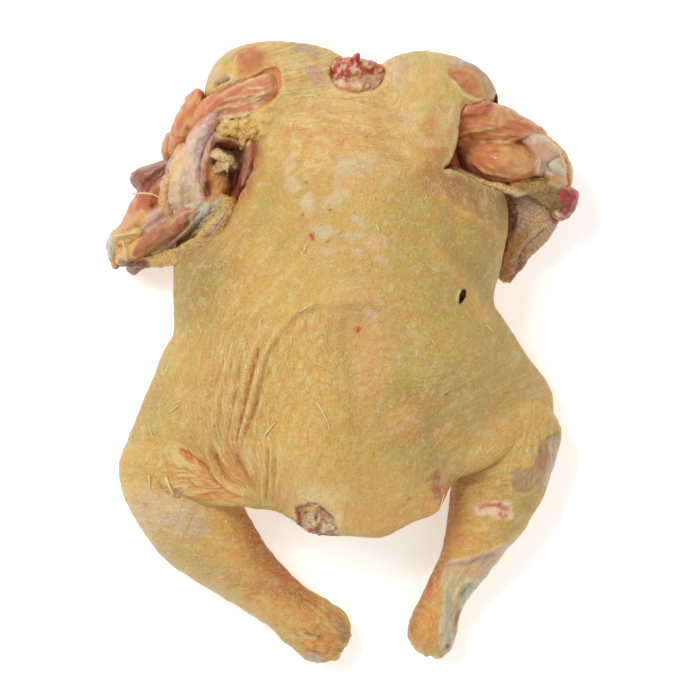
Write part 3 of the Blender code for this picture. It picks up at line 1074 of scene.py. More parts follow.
# The gathered skin over the left thigh, drawn together at the top of the leg's cleft:
# ridges with their half widths and heights, then creases with half widths, depths and colours.
THIGH_RIDGES = rows("""
2 2: -28.8 14.8, -32.9 6.3, -38.2 -5.9, -41.2 -17.6, -43.4 -26.1, -46.1 -36, -47.5 -43.6, -46.4 -49.1
1.5 1.6: -61.6 -36.5, -61.2 -41.9, -60.3 -47.2, -57.6 -54.5, -52.9 -59.2, -46.4 -62.1, -40.1 -63.9
1.2 1.1: -55.4 -41.4, -52.9 -48.6, -48.8 -54.5, -44.1 -58.5
3.2 0.9: -43.2 -36.5, -42.3 -47.2, -40.5 -56.2
1 1: -35.8 -34.6, -36 -47.2, -37.1 -61.6
0.9 0.7: -32.9 -40.5, -33.3 -51.8, -34.2 -64.4
1.2 0.4: -29.2 -38.2, -29.7 -51.8, -30.6 -65.2
1.3 0.7: -39.6 7.7, -43.2 -3.1, -46.4 -15.3, -49.1 -24.8, -51.3 -34.6
1.2 0.5: -44.6 7.7, -48.6 -5, -51.8 -18, -54.9 -33.8
1.2 0.5: -50.9 4.5, -55.4 -11.2, -58.5 -24.8, -59.9 -36.5
1.5 0.5: -27 55.4, -37.4 41.9, -45.9 29.2, -52.2 16.7
1.4 0.5: -19.8 41.9, -31.1 31.9, -39.1 22.1, -44.6 11.2
1.7 0.7: -10.8 24.8, -21.2 19.4, -28.4 13.1, -32.9 4.5
""")

THIGH_CREASES = rows("""
0.6 0.8 rust 0.75: -33.3 3.1, -36 -6.8, -39.1 -19.4, -41.4 -27, -44.1 -34.2, -46.1 -42.8
0.6 1.1 rust 1: -38.2 6.3, -40.7 -5, -43.2 -15.3, -45.5 -25.2, -48.1 -37.4, -48.8 -44.6
0.9 1.7 brick 1: -48.8 -43.6, -47.7 -50, -45.5 -53.6, -42.3 -59, -41 -62.1
0.4 0.6 wine 0.8: -48.1 -49.1, -45.5 -54, -42.3 -59.4
0.7 1.1 rust 0.95: -74.2 -42.3, -66.6 -47.5, -62.1 -50.4, -59.4 -55.8, -54.5 -59.9, -48.8 -63.5
0.35 0.4 wine 0.6: -67.5 -47.2, -61.6 -50.9, -59 -56.2, -55.4 -59.4
0.6 1.2 brick 1: -58.1 -42.8, -56.7 -50.4, -52.2 -55.8, -46.4 -59.9, -41.9 -61.2
0.4 0.5 rust 0.7: -50.9 -41.9, -50 -46.4, -48.1 -50.9
0.6 1.3 brick 1: -34.4 -40.6, -34.6 -53.6, -35.8 -66.8
0.5 0.9 rust 0.95: -31.5 -45.1, -31.7 -57.1, -32.4 -67.6
0.5 0.3 orange 0.6: -57.3 9, -59.4 -6.8, -61.6 -28.4, -63 -41.4
0.45 0.4 rust 0.55: -42.3 9, -46.4 -0.9, -48.8 -15.3, -52.2 -34.2, -52.9 -41.4
0.45 0.3 rust 0.4: -47.2 7.7, -52.2 -7.7, -55.8 -22.5, -57.6 -38.2
0.5 0.4 moss 0.6: -39.6 -31.5, -40.1 -42.8, -39.1 -56.2
0.5 0.5 coral 0.8: -76 -48.6, -67.5 -53.6, -59.9 -59.9, -52.6 -64.8
0.5 0.4 coral 0.65: -77 -53.6, -68.9 -58.1, -61.6 -63.5, -57.1 -66.6
0.6 0.5 coral 0.8: -59.9 -61.6, -53.6 -65.2, -46.4 -67.5
0.5 0.4 coral 0.7: -71.5 -43.6, -63.9 -53.1, -59.9 -58.1
0.5 0.3 orange 0.5: -83.2 -50, -75.2 -55.4, -67 -61.6
0.4 0.3 coral 0.6: -53.6 -43.6, -51.3 -50, -47.2 -55.4
""")


def knee_scab(clay):
    """A small brown graze on the left knee."""
    clay.paint([(-84.6, -56.7), (-81.9, -59.9), (-78.8, -62.6)], 0.8, "rust", 0.7, ragged=0.4)
    clay.patch((-75.6, -61.6), (2.2, 1.6), "bark", 0.9, ragged=0.4)
    clay.patch((-75.2, -61.6), (1.1, 0.8), "lilac", 0.9)
    clay.paint([(-77.9, -63.5), (-74.2, -63.9), (-72.9, -61.2)], 0.4, "umber", 0.7)


def thigh_folds(clay):
    """Ridges rise and are painted pale, partly as painted highlight; creases sink and are painted as warm
    dark lines, partly as painted shade.
    """
    for path, width, height in THIGH_RIDGES:
        clay.raised(path, width, 1.15 * height, taper=0.16)
        clay.paint(path, 0.75 * width, "cream", 0.35 + 0.3 * height, taper=0.2)
        clay.paint(path, 1.1 * width, "gold", 0.25 * height, taper=0.2)
    for path, width, depth, colour, strength in THIGH_CREASES:
        clay.raised(path, width, -1.15 * depth, taper=0.14)
        clay.paint(path, 1.6 * width, "orange", 0.5 * strength, taper=0.14)
        clay.paint(path, width, colour, strength, taper=0.14)
    clay.raised([(-75, -42.5), (-70, -46), (-61.5, -52)], 1.6, -1.2)
    clay.raised([(-102, -53.5), (-88, -60.5), (-65, -63.5), (-43, -65)], 6.0, 0.8)


def puncture(clay):
    """A small deep hole right of the back, with a thin pale rim on one side."""
    hole = [(51.1, 24.8), (51.8, 27.9), (53.3, 29.7), (54.5, 28.8), (54.2, 26.1), (52.9, 23.9), (51.5, 23.2)]
    rim = [(50.4, 23.9), (50.6, 27), (52.2, 29.7)]
    clay.paint(rim, 0.8, "cream", 0.9, taper=0.1)
    clay.raised(rim, 0.9, 0.4)
    # The hole's inside is painted near black, with an umber mark: painted shade in the deep hole.
    touched, share = clay.lowered(hole, 5.0, -0.3, 0.7)
    clay.cover(touched, 1.3 * share, "pit")
    clay.paint([(53.1, 28.8), (53.8, 26.6)], 0.5, "umber", 0.9)


# The outline of the cut through the tail's root.
TAIL_CUT = [
    *((-22.5, -69.3), (-18.4, -68), (-15.8, -67), (-12.2, -67.5), (-8.1, -70.7), (-4.5, -74.2)),
    *((-3.6, -77.9), (-3.1, -83.2), (-22.1, -83.2), (-21.2, -74.2)),
]

TAIL_AREAS = rows("""
bark 0.8: -22.9 -68.9, -18.4 -67.5, -17.6 -70.7, -19.4 -75.2, -19.8 -80.5, -22.5 -80.5, -21.2 -74.2
bark 0.8: -12.6 -68.9, -9.5 -70.7, -7.7 -74.2, -10.3 -74.7
lilac 0.8: -8.1 -71.5, -5 -73.8, -5 -77.4, -7.7 -77
veil 0.8: -18.9 -75.2, -16.2 -76, -16.2 -79.2, -19.4 -79.2
""")

TAIL_STROKES = rows("""
1.7 cream 0.75: -23.9 -70.7, -22.1 -67, -17.6 -63.9, -12.2 -63.5, -6.8 -66.6, -3.1 -71.5, -2.2 -77
1.2 smoke 0.6: -10.3 -67, -6.3 -69.8, -4 -73.4
0.6 rust 1: -22.5 -69.3, -18.4 -68
0.8 rust 1: -22.1 -69.8, -20.7 -74.2, -21.2 -79.7
0.5 wine 0.6: -20.7 -70.7, -19.8 -73.4, -20.2 -77.9
0.5 umber 0.9: -12.2 -68, -8.6 -70.7, -5 -73.8
0.5 umber 0.8: -12.6 -68.9, -12.6 -73.8
0.7 pit 1: -13.1 -73.8
0.8 gore 0.7: -16.2 -77.4, -14.4 -78.8, -11.7 -77.9
0.6 wine 0.7: -12.2 -76, -12.2 -80.1
0.9 butter 0.9: -17.1 -68.4, -14.8 -69.8, -13.1 -68.4
0.5 umber 0.8: -9 -78.8, -5 -80.1
0.7 cream 0.8: -15.8 -71.5, -14 -72.5
""")


def tail_cut(clay):
    """The ragged cut through the tail's root, with its pale rim."""
    touched, share = clay.within(TAIL_CUT, 0.0, 1.0, 0.6)
    clay.points[touched] += clay.normals[touched] * (share * cloud(clay.points[touched], 1.6, 50))[:, None]
    clay.pimple[touched] *= 1.0 - share
    clay.mottled(TAIL_CUT, ("cream", "umber", "rose", "pearl", "cream"), 1.2, 0.75)
    for outline, colour, strength in TAIL_AREAS:
        clay.fill(outline, colour, strength)
    clay.mottled(TAIL_CUT, ("cream", "bark"), 0.9, 0.5)
    clay.painted(TAIL_STROKES, 0.5)


# Broad tones of the body's skin: each oval's middle and half sizes. The moss, umber and rust ovals
# on the flanks next to and below both wings, and the olive oval at (-33.8, 69.8), are painted shade
# where the wings and the body's sides are turned from the light. The lilac oval on the left knee at
# (-86.9, -65.2) is the thin skin's tone with a painted sheen.
BODY_TONES = rows("""
apricot 0.75: 2 100.5, 26 25
butter 0.3: -20 115, 13.5 27
cream 0.22: 36 115, 20 27
olive 0.65: 38 43, 27 31.5
olive 0.8: 67.5 47, 16 36
umber 0.3: 61 70, 18 10
olive 0.75: -70 29, 16 27
gold 0.35: -43 56, 16 36
rose 0.3: 4.5 16, 13.5 27
olive 0.6: 43 -20, 38 34
moss 0.45: 34 -34, 20 18
gold 0.5: -16 -38, 19 40.5
olive 0.3: 7.5 -47, 7 27
rose 0.3: 12 -7, 7 22.5
rose 0.2: -52 -38, 13.5 27
apricot 0.45: 70 -38, 22.5 9
apricot 0.6: 2 -76.5, 49.5 9
rose 0.3: 88 -13.5, 6.5 18
olive 0.2: -83 -11, 13.5 18
orange 0.45: -47 -61, 31.5 6.5
cream 0.55: -20.2 124.7, 15.3 16.2
butter 0.4: 31.5 123.8, 14.4 11.7
apricot 0.5: -13.5 101.2, 16.2 11.7
cream 0.35: 2.2 110.2, 22.5 9
cream 0.3: -24.8 -56.2, 20.7 15.3
apricot 0.5: -11.2 -65.2, 40.5 11.7
apricot 0.6: 20.2 -74.2, 27 7.2
rust 0.25: -46.4 42.8, 6.3 13.5
rust 0.2: -54 60.8, 6.3 11.7
olive 0.55: -33.8 69.8, 10.8 19.8
olive 0.3: -24.8 54, 11.7 9
moss 0.6: -63 41.9, 13.5 10.8
moss 0.35: -72 29.2, 7.2 15.3
moss 0.65: 46.4 77.9, 12.6 11.7
olive 0.45: 36 63, 12.6 11.7
moss 0.35: 62.6 51.8, 8.1 18
olive 0.3: 23.9 69.8, 9 13.5
moss 0.2: 72 4.5, 13.5 13.5
lilac 0.3: -97.7 -38.2, 5.4 22.5
lilac 0.3: -86.9 -65.2, 15.3 6.3
butter 0.35: -20.2 -54, 27 13.5
cream 0.35: -10.3 -85.5, 22.5 6.3
olive 0.4: -55.4 136.3, 7.2 5.4
rose 0.35: 56.2 133.7, 9 5.4
moss 0.35: -47.2 63, 9 11
moss 0.45: -63 38.2, 9 15
umber 0.2: -67.5 22.5, 8 11
tan 0.45: -11.2 59.9, 10 8
gold 0.35: -11.2 59.9, 11 9
olive 0.35: -11.2 76.5, 12 9
olive 0.4: -29.2 78.8, 12 9
orange 0.85: 42.8 96.8, 9 11
rust 0.15: 42.8 96.8, 8 10
orange 0.5: 41 -67.5, 8 8
orange 0.4: 42.8 81, 9 9
rust 0.4: 60.8 76.5, 12 7
cream 0.3: -24.8 -64.4, 16 6
gold 0.3: 62 24, 8 9
gold 0.35: 60.8 60.8, 9 9
umber 0.3: 43.6 78.8, 10 9
umber 0.28: 60.8 59.9, 9 10
lilac 0.5: 23.9 130.1, 8 5
smoke 0.5: 24.8 124.7, 6 4
corn 0.85: -26.6 -65.2, 20 8
corn 0.5: -47.2 -64.4, 9 7
cream 0.6: -11.2 -63.5, 12 7
moss 0.45: -85 -14.8, 7 13
olive 0.35: -92.2 -33.8, 7 12
corn 0.3: -28.4 -40.5, 12 15
gold 0.45: 0 -48.1, 16 10
apricot 0.6: 25.7 -29.2, 9 8
corn 0.4: 61.6 -48.1, 10 7
tan 0.25: 25.7 4.5, 10 9
umber 0.2: 42.8 86.9, 10 13
coral 0.22: -29.2 -65.2, 9 7
""")

# Pale rubbed places on the back: each oval's middle and half sizes.
RUBS = rows("""
-25.2 86.9, 2.25 3.6
9 85.5, 8.1 4.5
-3.6 72.9, 4.05 7.2
-16.2 68.4, 3.15 4.5
5.4 60.3, 4.05 2.7
1.8 53.6, 5.85 2.25
13.1 50.4, 4.95 2.25
-7.2 46.4, 3.6 1.8
5.4 46.8, 2.7 1.8
16.2 42.8, 3.15 1.8
-23.9 77, 3.15 3.15
24.8 106.7, 3.6 2.7
-9 55.4, 5.4 3.15
12.2 18.4, 3.15 1.8
0 83.2, 6.3 2.7
""")

# Blushes, streaks and pale edges, with half widths. The rust, umber and orange strokes down the edge
# of the left wing's gap darken the skin towards it: the rim's warm tone with painted shade.
BODY_STROKES = rows("""
1.8 apricot 0.5: 41.9 79.7, 45.5 69.8, 52.6 64.4, 63 59, 72.5 50.9
2 apricot 0.6: 38.2 50, 48.1 38.2, 56.2 28.4, 61.6 19.4, 67 10.3
3.5 moss 0.5: 50.9 50, 59 37.4, 66.2 22.9
2.6 rust 0.6: -44.1 98.1, -40.1 93.2, -40.1 85, -44.1 74.2, -48.1 67
1.2 umber 0.6: -43.6 97.2, -40.5 92.2, -41 85, -44.1 76, -48.1 68.4
2.6 rose 0.7: -15.8 130.1, -12.2 125.5, -10.3 121
2.2 smoke 0.7: -11.2 131, -9.5 126.5
1.8 moss 0.6: -24.8 139.5, -18.4 138.2, -11.2 135.9
1.6 gold 0.8: -16.2 138.6, -13.1 138.2
1.2 coral 0.75: -75 -42.5, -70 -46, -61.5 -52
3 coral 0.35: -67 -47.5, -61 -54.5, -54.5 -61.5
3 coral 0.4: -63 -60, -55.5 -62.5, -45.5 -65
1.6 coral 0.25: -54 -43.5, -51 -49, -44.5 -57
1.2 coral 0.4: -45.5 -38, -46.5 -45.5, -43 -55.5
1.6 umber 0.7: 45.5 -68, 48 -60, 54.5 -55, 63.5 -52
1.4 cream 0.7: -29 133, -28.5 125.5, -29.5 119, -34.5 111.5, -43 107.5, -47 102.5
2 orange 0.5: -44.5 96, -41 90.5, -41.5 82.5, -46.5 71, -50.5 64
1.3 cream 0.7: 47 128, 52 120.5, 61 115.5, 54.5 111.5, 51 104, 49.5 96, 47 88
1.2 cream 0.6: -8.1 130.1, -8.1 124.7, -5 120.2, 0 117.9, 10.3 117.5, 17.6 121
1.5 cream 0.75: -21.5 -69, -17.5 -65, -10.5 -64.5, -4 -70, -2.5 -78
""")


# The smallest marks on the body's skin.
BLOOD_SPOTS = ((-15, 53.5), (6, 11), (42, -61))
DARK_SPECKS = (
    *((0.5, 97), (9.5, 98), (-17.5, 77.5), (-6.5, 65.5)),
    *((-19, 63), (29, -65), (45.5, -17.5), (-7.5, 50.5)),
)


def body_paint(clay):
    """Broad tones first, then streaks, rubs, blushes and edges."""
    for (centre, half), colour, strength in BODY_TONES:
        clay.patch(centre, half, colour, strength, 0.75, 0.3)
    neckward = ramp(clay.plan[:, 1], 70.0, 95.0) * clay.upper
    blotches = ((5.5, 91, "cream", 0.55), (4.5, 92, "apricot", 0.6), (2.4, 93, "cream", 0.35))
    for size, seed, colour, strength in blotches:
        clay.cover(slice(None), strength * neckward * ramp(cloud(clay.points, size, seed), 0.1, 0.65), colour)
    # Tan and umber on the right side below the wing: painted shade of the wing.
    under_wing_shade = [(43.6, 82.4), (56.2, 78.8), (74.2, 74.2), (73.4, 55.4), (63, 62.6), (52.6, 68), (45.9, 72.5)]
    clay.fill(under_wing_shade, "tan", 0.35, 4.0, 2.4)
    clay.fill([(43.6, 83.2), (56.2, 79.7), (75.2, 74.2), (75.2, 68), (56.2, 73.4)], "umber", 0.25, 3.0, 2.4)
    for index, ((centre, half),) in enumerate(RUBS):
        clay.patch(centre, half, "smoke", 0.85, 0.3, 0.7, -12.0, seed=20 + index)
    # Rust in the wrinkles' hollows and cream on their crests: the skin's own tones with painted shade and
    # painted highlight.
    clay.streaked("rust", 0.45, "cream", 0.45)
    clay.painted(BODY_STROKES, 0.3)
    veil = [(-25.7, 140), (-20.2, 140.4), (-15.8, 138.6), (-10.3, 135.5), (-15.8, 134.6), (-22.1, 136.8)]
    clay.fill(veil, "grey", 0.8)
    tear = [(-18.4, 131.4), (-14, 130.1), (-9, 128.2), (-9, 123.8), (-11.2, 120.6), (-14.4, 123.8)]
    clay.fill(tear, "lilac", 1.0)
    clay.patch((-12.2, 125.5), (2.5, 3.5), "rose", 0.7, ragged=0.6)
    clay.patch((41, -58.5), (3, 5), "wine", 0.5, ragged=0.6)
    for spot in BLOOD_SPOTS:
        clay.patch(spot, (1.1, 1.7), "scarlet", 1.0)
    for spot in DARK_SPECKS:
        clay.patch(spot, (0.6, 0.6), "pit", 0.85)


# Tugs that bring the skin's outline into place: where, how far in x and y, and how wide around.
BODY_TUGS = (
    ((-30, -78), (3, 7), 12),
    ((-14, -82), (1, -0.5), 10),
    ((20, -79), (0, -7.5), 18),
    ((43, -71), (1.5, -7), 9),
    ((-103, -48), (-2, 0), 14),
    ((-79, 6), (-2, 1), 14),
    ((92, -8), (-1, 0), 14),
    ((66, 30), (-3, 0), 12),
)


# Where the skin's folds and edges are finest: x, y and reach.
FINE_SPOTS = (
    *((-46, -50, 17), (-46, -26, 13), (-38, -3, 11), (-64, -55, 9)),
    *((-31, 118, 9), (-38, 107, 9), (-43, 92, 9), (-44, 78, 9), (-53, 63, 9), (-68, 52, 9)),
    *((52, 119, 9), (51, 104, 8), (48, 88, 8), (60, 78, 9), (74, 73, 8)),
    *((-8, 124, 8), (4, 120, 9), (17, 124, 8), (-12, -72, 10), (53, 26, 6)),
)


# The red scratches above the right leg's cleft.
BRUISE_STROKES = rows("""
2.6 rose 0.7: 41 -53.6, 43.2 -58.1, 41.9 -64.4
1 blood 0.7: 40.1 -55.8, 41.9 -54.9, 43.6 -55.8
1.1 blood 0.75: 39.6 -59.9, 41.9 -59, 43.2 -60.8
0.9 blood 0.7: 40.1 -62.6, 42.3 -61.6, 42.8 -64.4
0.5 rust 0.6: 38.2 -61.6, 40.1 -58.5, 40.1 -55.8
""")


def body_skin():
    body = melted(body_masses(), "body_skin", SKIN_VOXEL)
    refined(body, facing=0.12, low=16.0)
    refined(body, facing=0.12, low=16.0, spots=FINE_SPOTS)
    clay = Clay(body)
    clay.tugged(BODY_TUGS)
    back_relief(clay)
    clay.feel()
    clay.wrinkled(Grain(BODY_LINES, (-115, -90), (105, 145), 1.1), 0.36)
    thigh_folds(clay)
    clay.swollen(0.4 * cloud(clay.points, 9.0, 3) + 0.22 * cloud(clay.points, 3.0, 4))
    body_paint(clay)
    knee_scab(clay)
    shoulders(clay)
    fat_lumps(clay)
    body_openings(clay)
    puncture(clay)
    tail_cut(clay)
    clay.pimple *= 1.0 - 0.6 * np.clip(clay.strength, 0.0, 1.0)
    clay.painted(BRUISE_STROKES, 0.6, 0.15)
    for centre, half in (((31.5, 54), (27, 36)), ((38.2, -11.2), (40.5, 31.5)), ((6.8, 51.8), (22.5, 22.5))):
        weight, touched = clay.oval(centre, half, 0.6, 0.2)
        clay.pimple[touched] += 0.45 * weight
    clay.laid()
    return clay


# Strokes on a leg with half widths above this come before its windows, the others after them.
BROAD = 2.4

# How far from its middle a leg's cut end is ragged, in MM.
CUT_REACH = 11.0

LEFT_LEG_AREAS = rows("""
lilac 0.8: -18 -133.7, -10.3 -135, -9.5 -140, -17.6 -140.8, -20.2 -137.2
tan 0.7: -8.6 -115.7, -5 -114.8, 2.2 -125.5, 0.5 -128.2, -3.1 -124.7
moss 0.35: -20.2 -122.9, -13.1 -123.8, -9.5 -128.2, -14.8 -128.2
""")

# The broad veil and lilac strokes over the knee are the thin skin's lilac tone with a painted sheen.
LEFT_LEG_STROKES = rows("""
0.8 rust 0.7: -84.6 -56.7, -81.9 -59.9, -78.8 -62.6
2 bark 0.9: -77 -61.2, -73.8 -62.1
0.9 lilac 0.9: -75.6 -61.2, -74.2 -62.1
0.4 umber 0.7: -77.9 -63.5, -74.2 -63.9, -72.9 -61.2
10 cream 0.6: -98.5 -51.8, -97.7 -78.8, -86.9 -97.7, -65.2 -113, -47.2 -122, -31.5 -130.5
8 veil 0.6: -95.9 -67, -88.7 -70.7, -79.7 -72.5, -69.8 -74.2
6.8 lilac 0.65: -75.2 -69.8, -67 -75.2, -62.6 -81.5
9 smoke 0.45: -87.8 -83.2, -69.8 -96.8, -51.8 -105.8
8.8 olive 0.25: -87.8 -83.2, -69.8 -92.2, -58.5 -99
9 orange 0.45: -52.6 -65.2, -50 -78.8, -44.6 -92.2, -34.6 -103, -21.2 -112, -8.6 -119.2
6 rust 0.7: -44.6 -67.5, -42.8 -77.9, -38.2 -89.1, -31.1 -99.5, -19.4 -107.5, -10.3 -113.9
3.4 brick 0.65: -42.8 -67.5, -41.4 -77.9, -36.5 -88.7, -27.4 -98.5, -16.7 -105.8
1.8 umber 0.6: -41.4 -68.9, -40.1 -77, -34.6 -86.9, -24.8 -96.8, -14.8 -104.9
3.1 rust 0.45: -55.4 -99, -47.2 -102.6, -37.4 -106.7
3.6 brick 0.35: -42.8 -106.7, -37.4 -104.4, -29.2 -109.4
4 apricot 0.5: -47.2 -105.8, -37.4 -113, -26.6 -124.7
6.3 orange 0.9: -18.4 -128.2, -9 -131.8, -2.2 -133.7
2.6 coral 0.5: -17.6 -114.8, -12.2 -123.8, -5.9 -129.2
0.5 brick 0.6: -20.2 -119.2, -16.7 -125.5, -12.2 -131.8
0.5 brick 0.6: -15.8 -120.2, -12.2 -126.5, -7.7 -131
0.5 brick 0.5: -23.9 -122, -20.2 -129.2, -16.7 -134.6
3.6 butter 0.6: -29.2 -123.8, -24.8 -131, -20.2 -135.5
0.8 cream 0.75: -9 -118.4, -3.6 -124.7, -0.5 -131
0.7 rust 0.7: -7.2 -115.7, -1.4 -122, 2.2 -128.2
1.4 coral 0.8: -9.5 -117.5, -5.9 -116.5, -3.1 -118.4
1.4 coral 0.4: -8.6 -122.9, -5 -129.2
0.6 cream 0.7: -20.7 -124.2, -17.6 -126.9, -12.2 -127.8
0.7 umber 0.4: -19.4 -122.4, -16.7 -123.8
0.5 rust 0.5: -20.2 -128.7, -14.8 -133.7, -9.5 -135.9
0.5 rust 0.35: -13.5 -131, -6.8 -132.8, -0.5 -132.8
0.5 cream 0.7: -79.7 -68, -77.9 -71.5
0.9 blood 0.5: -90 -67.5
0.5 cream 0.8: -37.4 -110.7, -33.8 -111.6
""")

LEFT_LEG_FOLDS = rows("""
1.2 -1.6: -7.7 -116.5, -2.2 -123.8, 0.9 -130.1
0.7 0.9: -9.5 -118.4, -4 -125.5, -0.9 -131.8
0.8 0.9: -5.4 -115.7, 0.5 -122.9, 3.1 -130.1
1.4 -1.2: -18.4 -124.7, -14 -126.5, -9.5 -129.2
0.6 0.7: -20.7 -124.2, -17.6 -127.4, -11.2 -128.2
0.7 -0.8: -20.2 -128.7, -14.8 -133.7, -8.6 -136.3
2.2 1.2: -17.6 -129.2, -8.6 -133.7, -0.5 -135.5
0.9 -0.7: -22.1 -128.2, -18.4 -133.7
7.2 0.8: -74.2 -74.2, -69.8 -76
""")

LEFT_LEG_LINES = rows("""
0.35: -87.8 -78.8, -65.2 -79.7, -42.8 -81.5
0.35: -87.8 -92.2, -65.2 -92.2, -38.2 -95
0.4: -65.2 -105.8, -42.8 -104, -24.8 -105.8
0.4: -37.4 -110.2, -24.8 -122, -20.2 -132.8
0.8: -24.8 -122, -14.8 -128.2, -0.5 -129.2
0.8: -10.3 -115.7, 0.5 -128.2
0.8: -21.2 -132.8, -11.2 -136.3, -0.5 -134.6
""")

RIGHT_LEG_AREAS = rows("""
tan 0.85: 74.7 -52.6, 77.9 -50.9, 83.2 -50.9, 85.5 -55.4, 84.6 -60.8, 80.5 -62.6, 75.6 -60.8, 73.8 -56.7
tan 0.85: 87.8 -39.1, 91.4 -36.5, 98.5 -33.8, 99.5 -47.2, 95 -60.8, 90 -65.2, 86.4 -60.8, 85 -50.9,
    86 -43.6
lilac 0.7: 91.8 -38.2, 95 -37.4, 95.4 -48.1, 91.8 -58.1, 89.1 -57.1, 92.2 -47.2
bark 0.6: 86.9 -41, 90.5 -40.1, 91.4 -47.2, 89.1 -51.8, 86.4 -50
pearl 0.9: 58.1 -68.9, 61.6 -67, 69.8 -65.7, 74.7 -66.6, 76 -70.7, 75.2 -74.2, 69.8 -73.8, 65.2 -72.5,
    59 -71.5
lilac 0.8: 44.6 -93.2, 50 -91.4, 59 -90.5, 68 -86.9, 76 -82.4, 79.7 -80.5, 72.5 -92.2, 61.6 -103,
    56.2 -100.4, 50 -97.7, 46.4 -96.8
fat 0.6: 52.6 -95.9, 59 -93.2, 61.6 -97.7, 58.1 -102.2, 52.6 -100.4
smoke 0.8: 42.8 -95, 50 -97.7, 57.1 -100.4, 59.9 -105.8, 54.5 -113, 53.6 -123.8, 50 -137.2, 41.9 -137.2,
    42.8 -123.8, 43.6 -110.2
bluish 0.6: 45.5 -99.5, 48.1 -101.2, 48.1 -119.2, 45.5 -132.8, 42.8 -128.2, 44.1 -112
bluish 0.9: 56.2 -102.2, 60.8 -100.4, 59 -106.7, 54.5 -111.2, 50.9 -110.2, 50 -107.5, 52.6 -104
moss 0.9: 52.6 -113, 53.6 -119.2, 50.9 -125.5, 47.2 -124.7, 47.7 -118.4, 50 -113.9
bluish 0.8: 45.5 -122.9, 48.1 -123.8, 48.1 -129.2, 44.6 -130.1
orange 0.6: 29.2 -117.5, 35.6 -113, 41.9 -114.8, 43.6 -122, 41.9 -130.1, 33.8 -132.8, 26.6 -131
orange 0.7: 30.2 -119.2, 35.6 -115.7, 41 -117.5, 41.9 -123.8, 37.4 -129.2, 30.2 -128.2
lilac 0.7: 44.1 -128.2, 49.1 -128.2, 50 -132.8, 45.5 -133.7
gold 0.7: 41.9 -133.7, 48.1 -132.8, 48.1 -139.1, 41.9 -138.2
""")

# The cream, pearl and veil strokes along the lilac sheath on the shank are its pale tone with a painted
# highlight.
RIGHT_LEG_STROKES = rows("""
5 rust 0.6: 50 -51.8, 48.1 -65.2, 46.4 -76.5, 45.5 -85.5, 42.8 -93.2
4.6 coral 0.9: 48.1 -59.9, 45.9 -69.8, 44.6 -81, 42.8 -92.2, 39.1 -101.2
2 brick 0.5: 45.5 -67.5, 43.6 -81, 41.4 -93.2, 35.6 -105.8
5.5 moss 0.35: 56.2 -65.2, 65.2 -63.5, 74.2 -59.9
4.5 orange 0.7: 51.8 -70.2, 50.9 -85.5, 52.6 -90.5
6.3 apricot 0.5: 59 -51.8, 56.2 -65.2, 53.6 -78.8, 50 -88.7
3.1 orange 0.6: 52.6 -85.5, 62.6 -86, 72.5 -81.5
3.6 olive 0.5: 56.2 -58.1, 65.2 -56.2, 72.5 -54.5
5.4 olive 0.55: 83.2 -65.2, 78.8 -74.2, 69.8 -81
2.2 rust 0.7: 44.6 -92.2, 38.2 -101.2, 32.9 -113, 28.4 -128.2
3.6 coral 0.8: 42.8 -96.8, 39.1 -104.9, 36.5 -111.2
1.6 brick 0.5: 39.1 -102.2, 35.6 -108.5, 32.9 -113.9
0.7 cream 0.6: 45.5 -93.2, 56.2 -90.9, 68 -86.4, 77 -81.9
0.8 blood 0.75: 59.9 -69.3, 63.5 -68, 68 -67.5, 71.5 -66.6
1.1 blood 0.75: 68.4 -67.5, 71.1 -68.9, 73.4 -70.2
1 blood 0.7: 68.9 -70.7, 71.1 -72.5, 73.4 -72
0.6 coral 0.6: 63.5 -72, 66.2 -72.9
0.5 coral 0.7: 73.8 -68, 74.2 -71.5
0.5 coral 0.7: 60.8 -67.5, 65.2 -66.6
1.4 pearl 0.7: 53.6 -92.2, 57.1 -92.2
1.1 coral 0.4: 47.2 -96.8, 50 -95
0.9 veil 0.7: 62.6 -93.2, 68.9 -88.7, 73.4 -85
0.7 cream 0.9: 59 -100.4, 52.6 -103, 49.1 -109.4, 50.9 -112
0.7 cream 0.8: 52.6 -112, 49.1 -117.5, 47.2 -124.7
0.7 umber 0.6: 54.9 -104.9, 51.8 -108.5
0.7 umber 0.5: 51.8 -113.9, 49.5 -120.2
0.7 cream 0.8: 43.6 -113, 42.8 -122, 41.9 -131
1.4 cream 0.9: 26.6 -130.1, 31.1 -132.8, 37.4 -135, 42.8 -134.6
1 gore 0.8: 45.9 -131.4
0.5 cream 0.4: 74.2 -53.6, 75.2 -60.8, 80.5 -63, 86 -60.8
0.5 umber 0.5: 87.8 -39.1, 92.2 -36.9, 97.7 -34.6
""")

RIGHT_LEG_FOLDS = rows("""
1.1 0.9: 45.5 -93.6, 56.2 -91.4, 68 -86.9, 77 -82.4
1.4 -1: 46.4 -95.9, 57.1 -94, 69.8 -89.1, 77 -84.6
1.5 -1.8: 57.1 -103.5, 52.2 -108
1.4 -1.6: 51.8 -114.8, 49.5 -122
0.7 0.9: 59 -100.4, 52.6 -103, 49.1 -109.4, 50 -113
1.4 0.9: 44.6 -103, 44.6 -115.7, 43.2 -128.2
0.5 -0.7: 43.6 -114.8, 42.8 -128.2
1.8 -0.9: 58.1 -69.3, 67 -68.9, 75.2 -70.2
0.6 0.6: 75.2 -53.6, 75.2 -59.9, 79.7 -63, 85 -60.8
4.5 -0.9: 79.7 -56.7
1.8 -0.8: 89.1 -41.9, 89.1 -56.2
5.4 0.9: 35.6 -122.9
""")

RIGHT_LEG_LINES = rows("""
0.6: 52.6 -60.8, 65.2 -59, 74.2 -56.2
0.4: 49.1 -74.2, 65.2 -76, 83.2 -69.8
0.5: 46.4 -85.5, 60.8 -85, 74.2 -79.7
0.7: 93.2 -38.2, 93.2 -51.8, 87.8 -65.2
0.8: 69.8 -86.9, 60.8 -96.8, 53.6 -110.2
0.8: 45.5 -99, 44.6 -114.8, 42.8 -132.8
0.3: 39.1 -101.2, 33.8 -113
0.5: 30.2 -115.7, 38.2 -113.9, 42.8 -119.2
""")


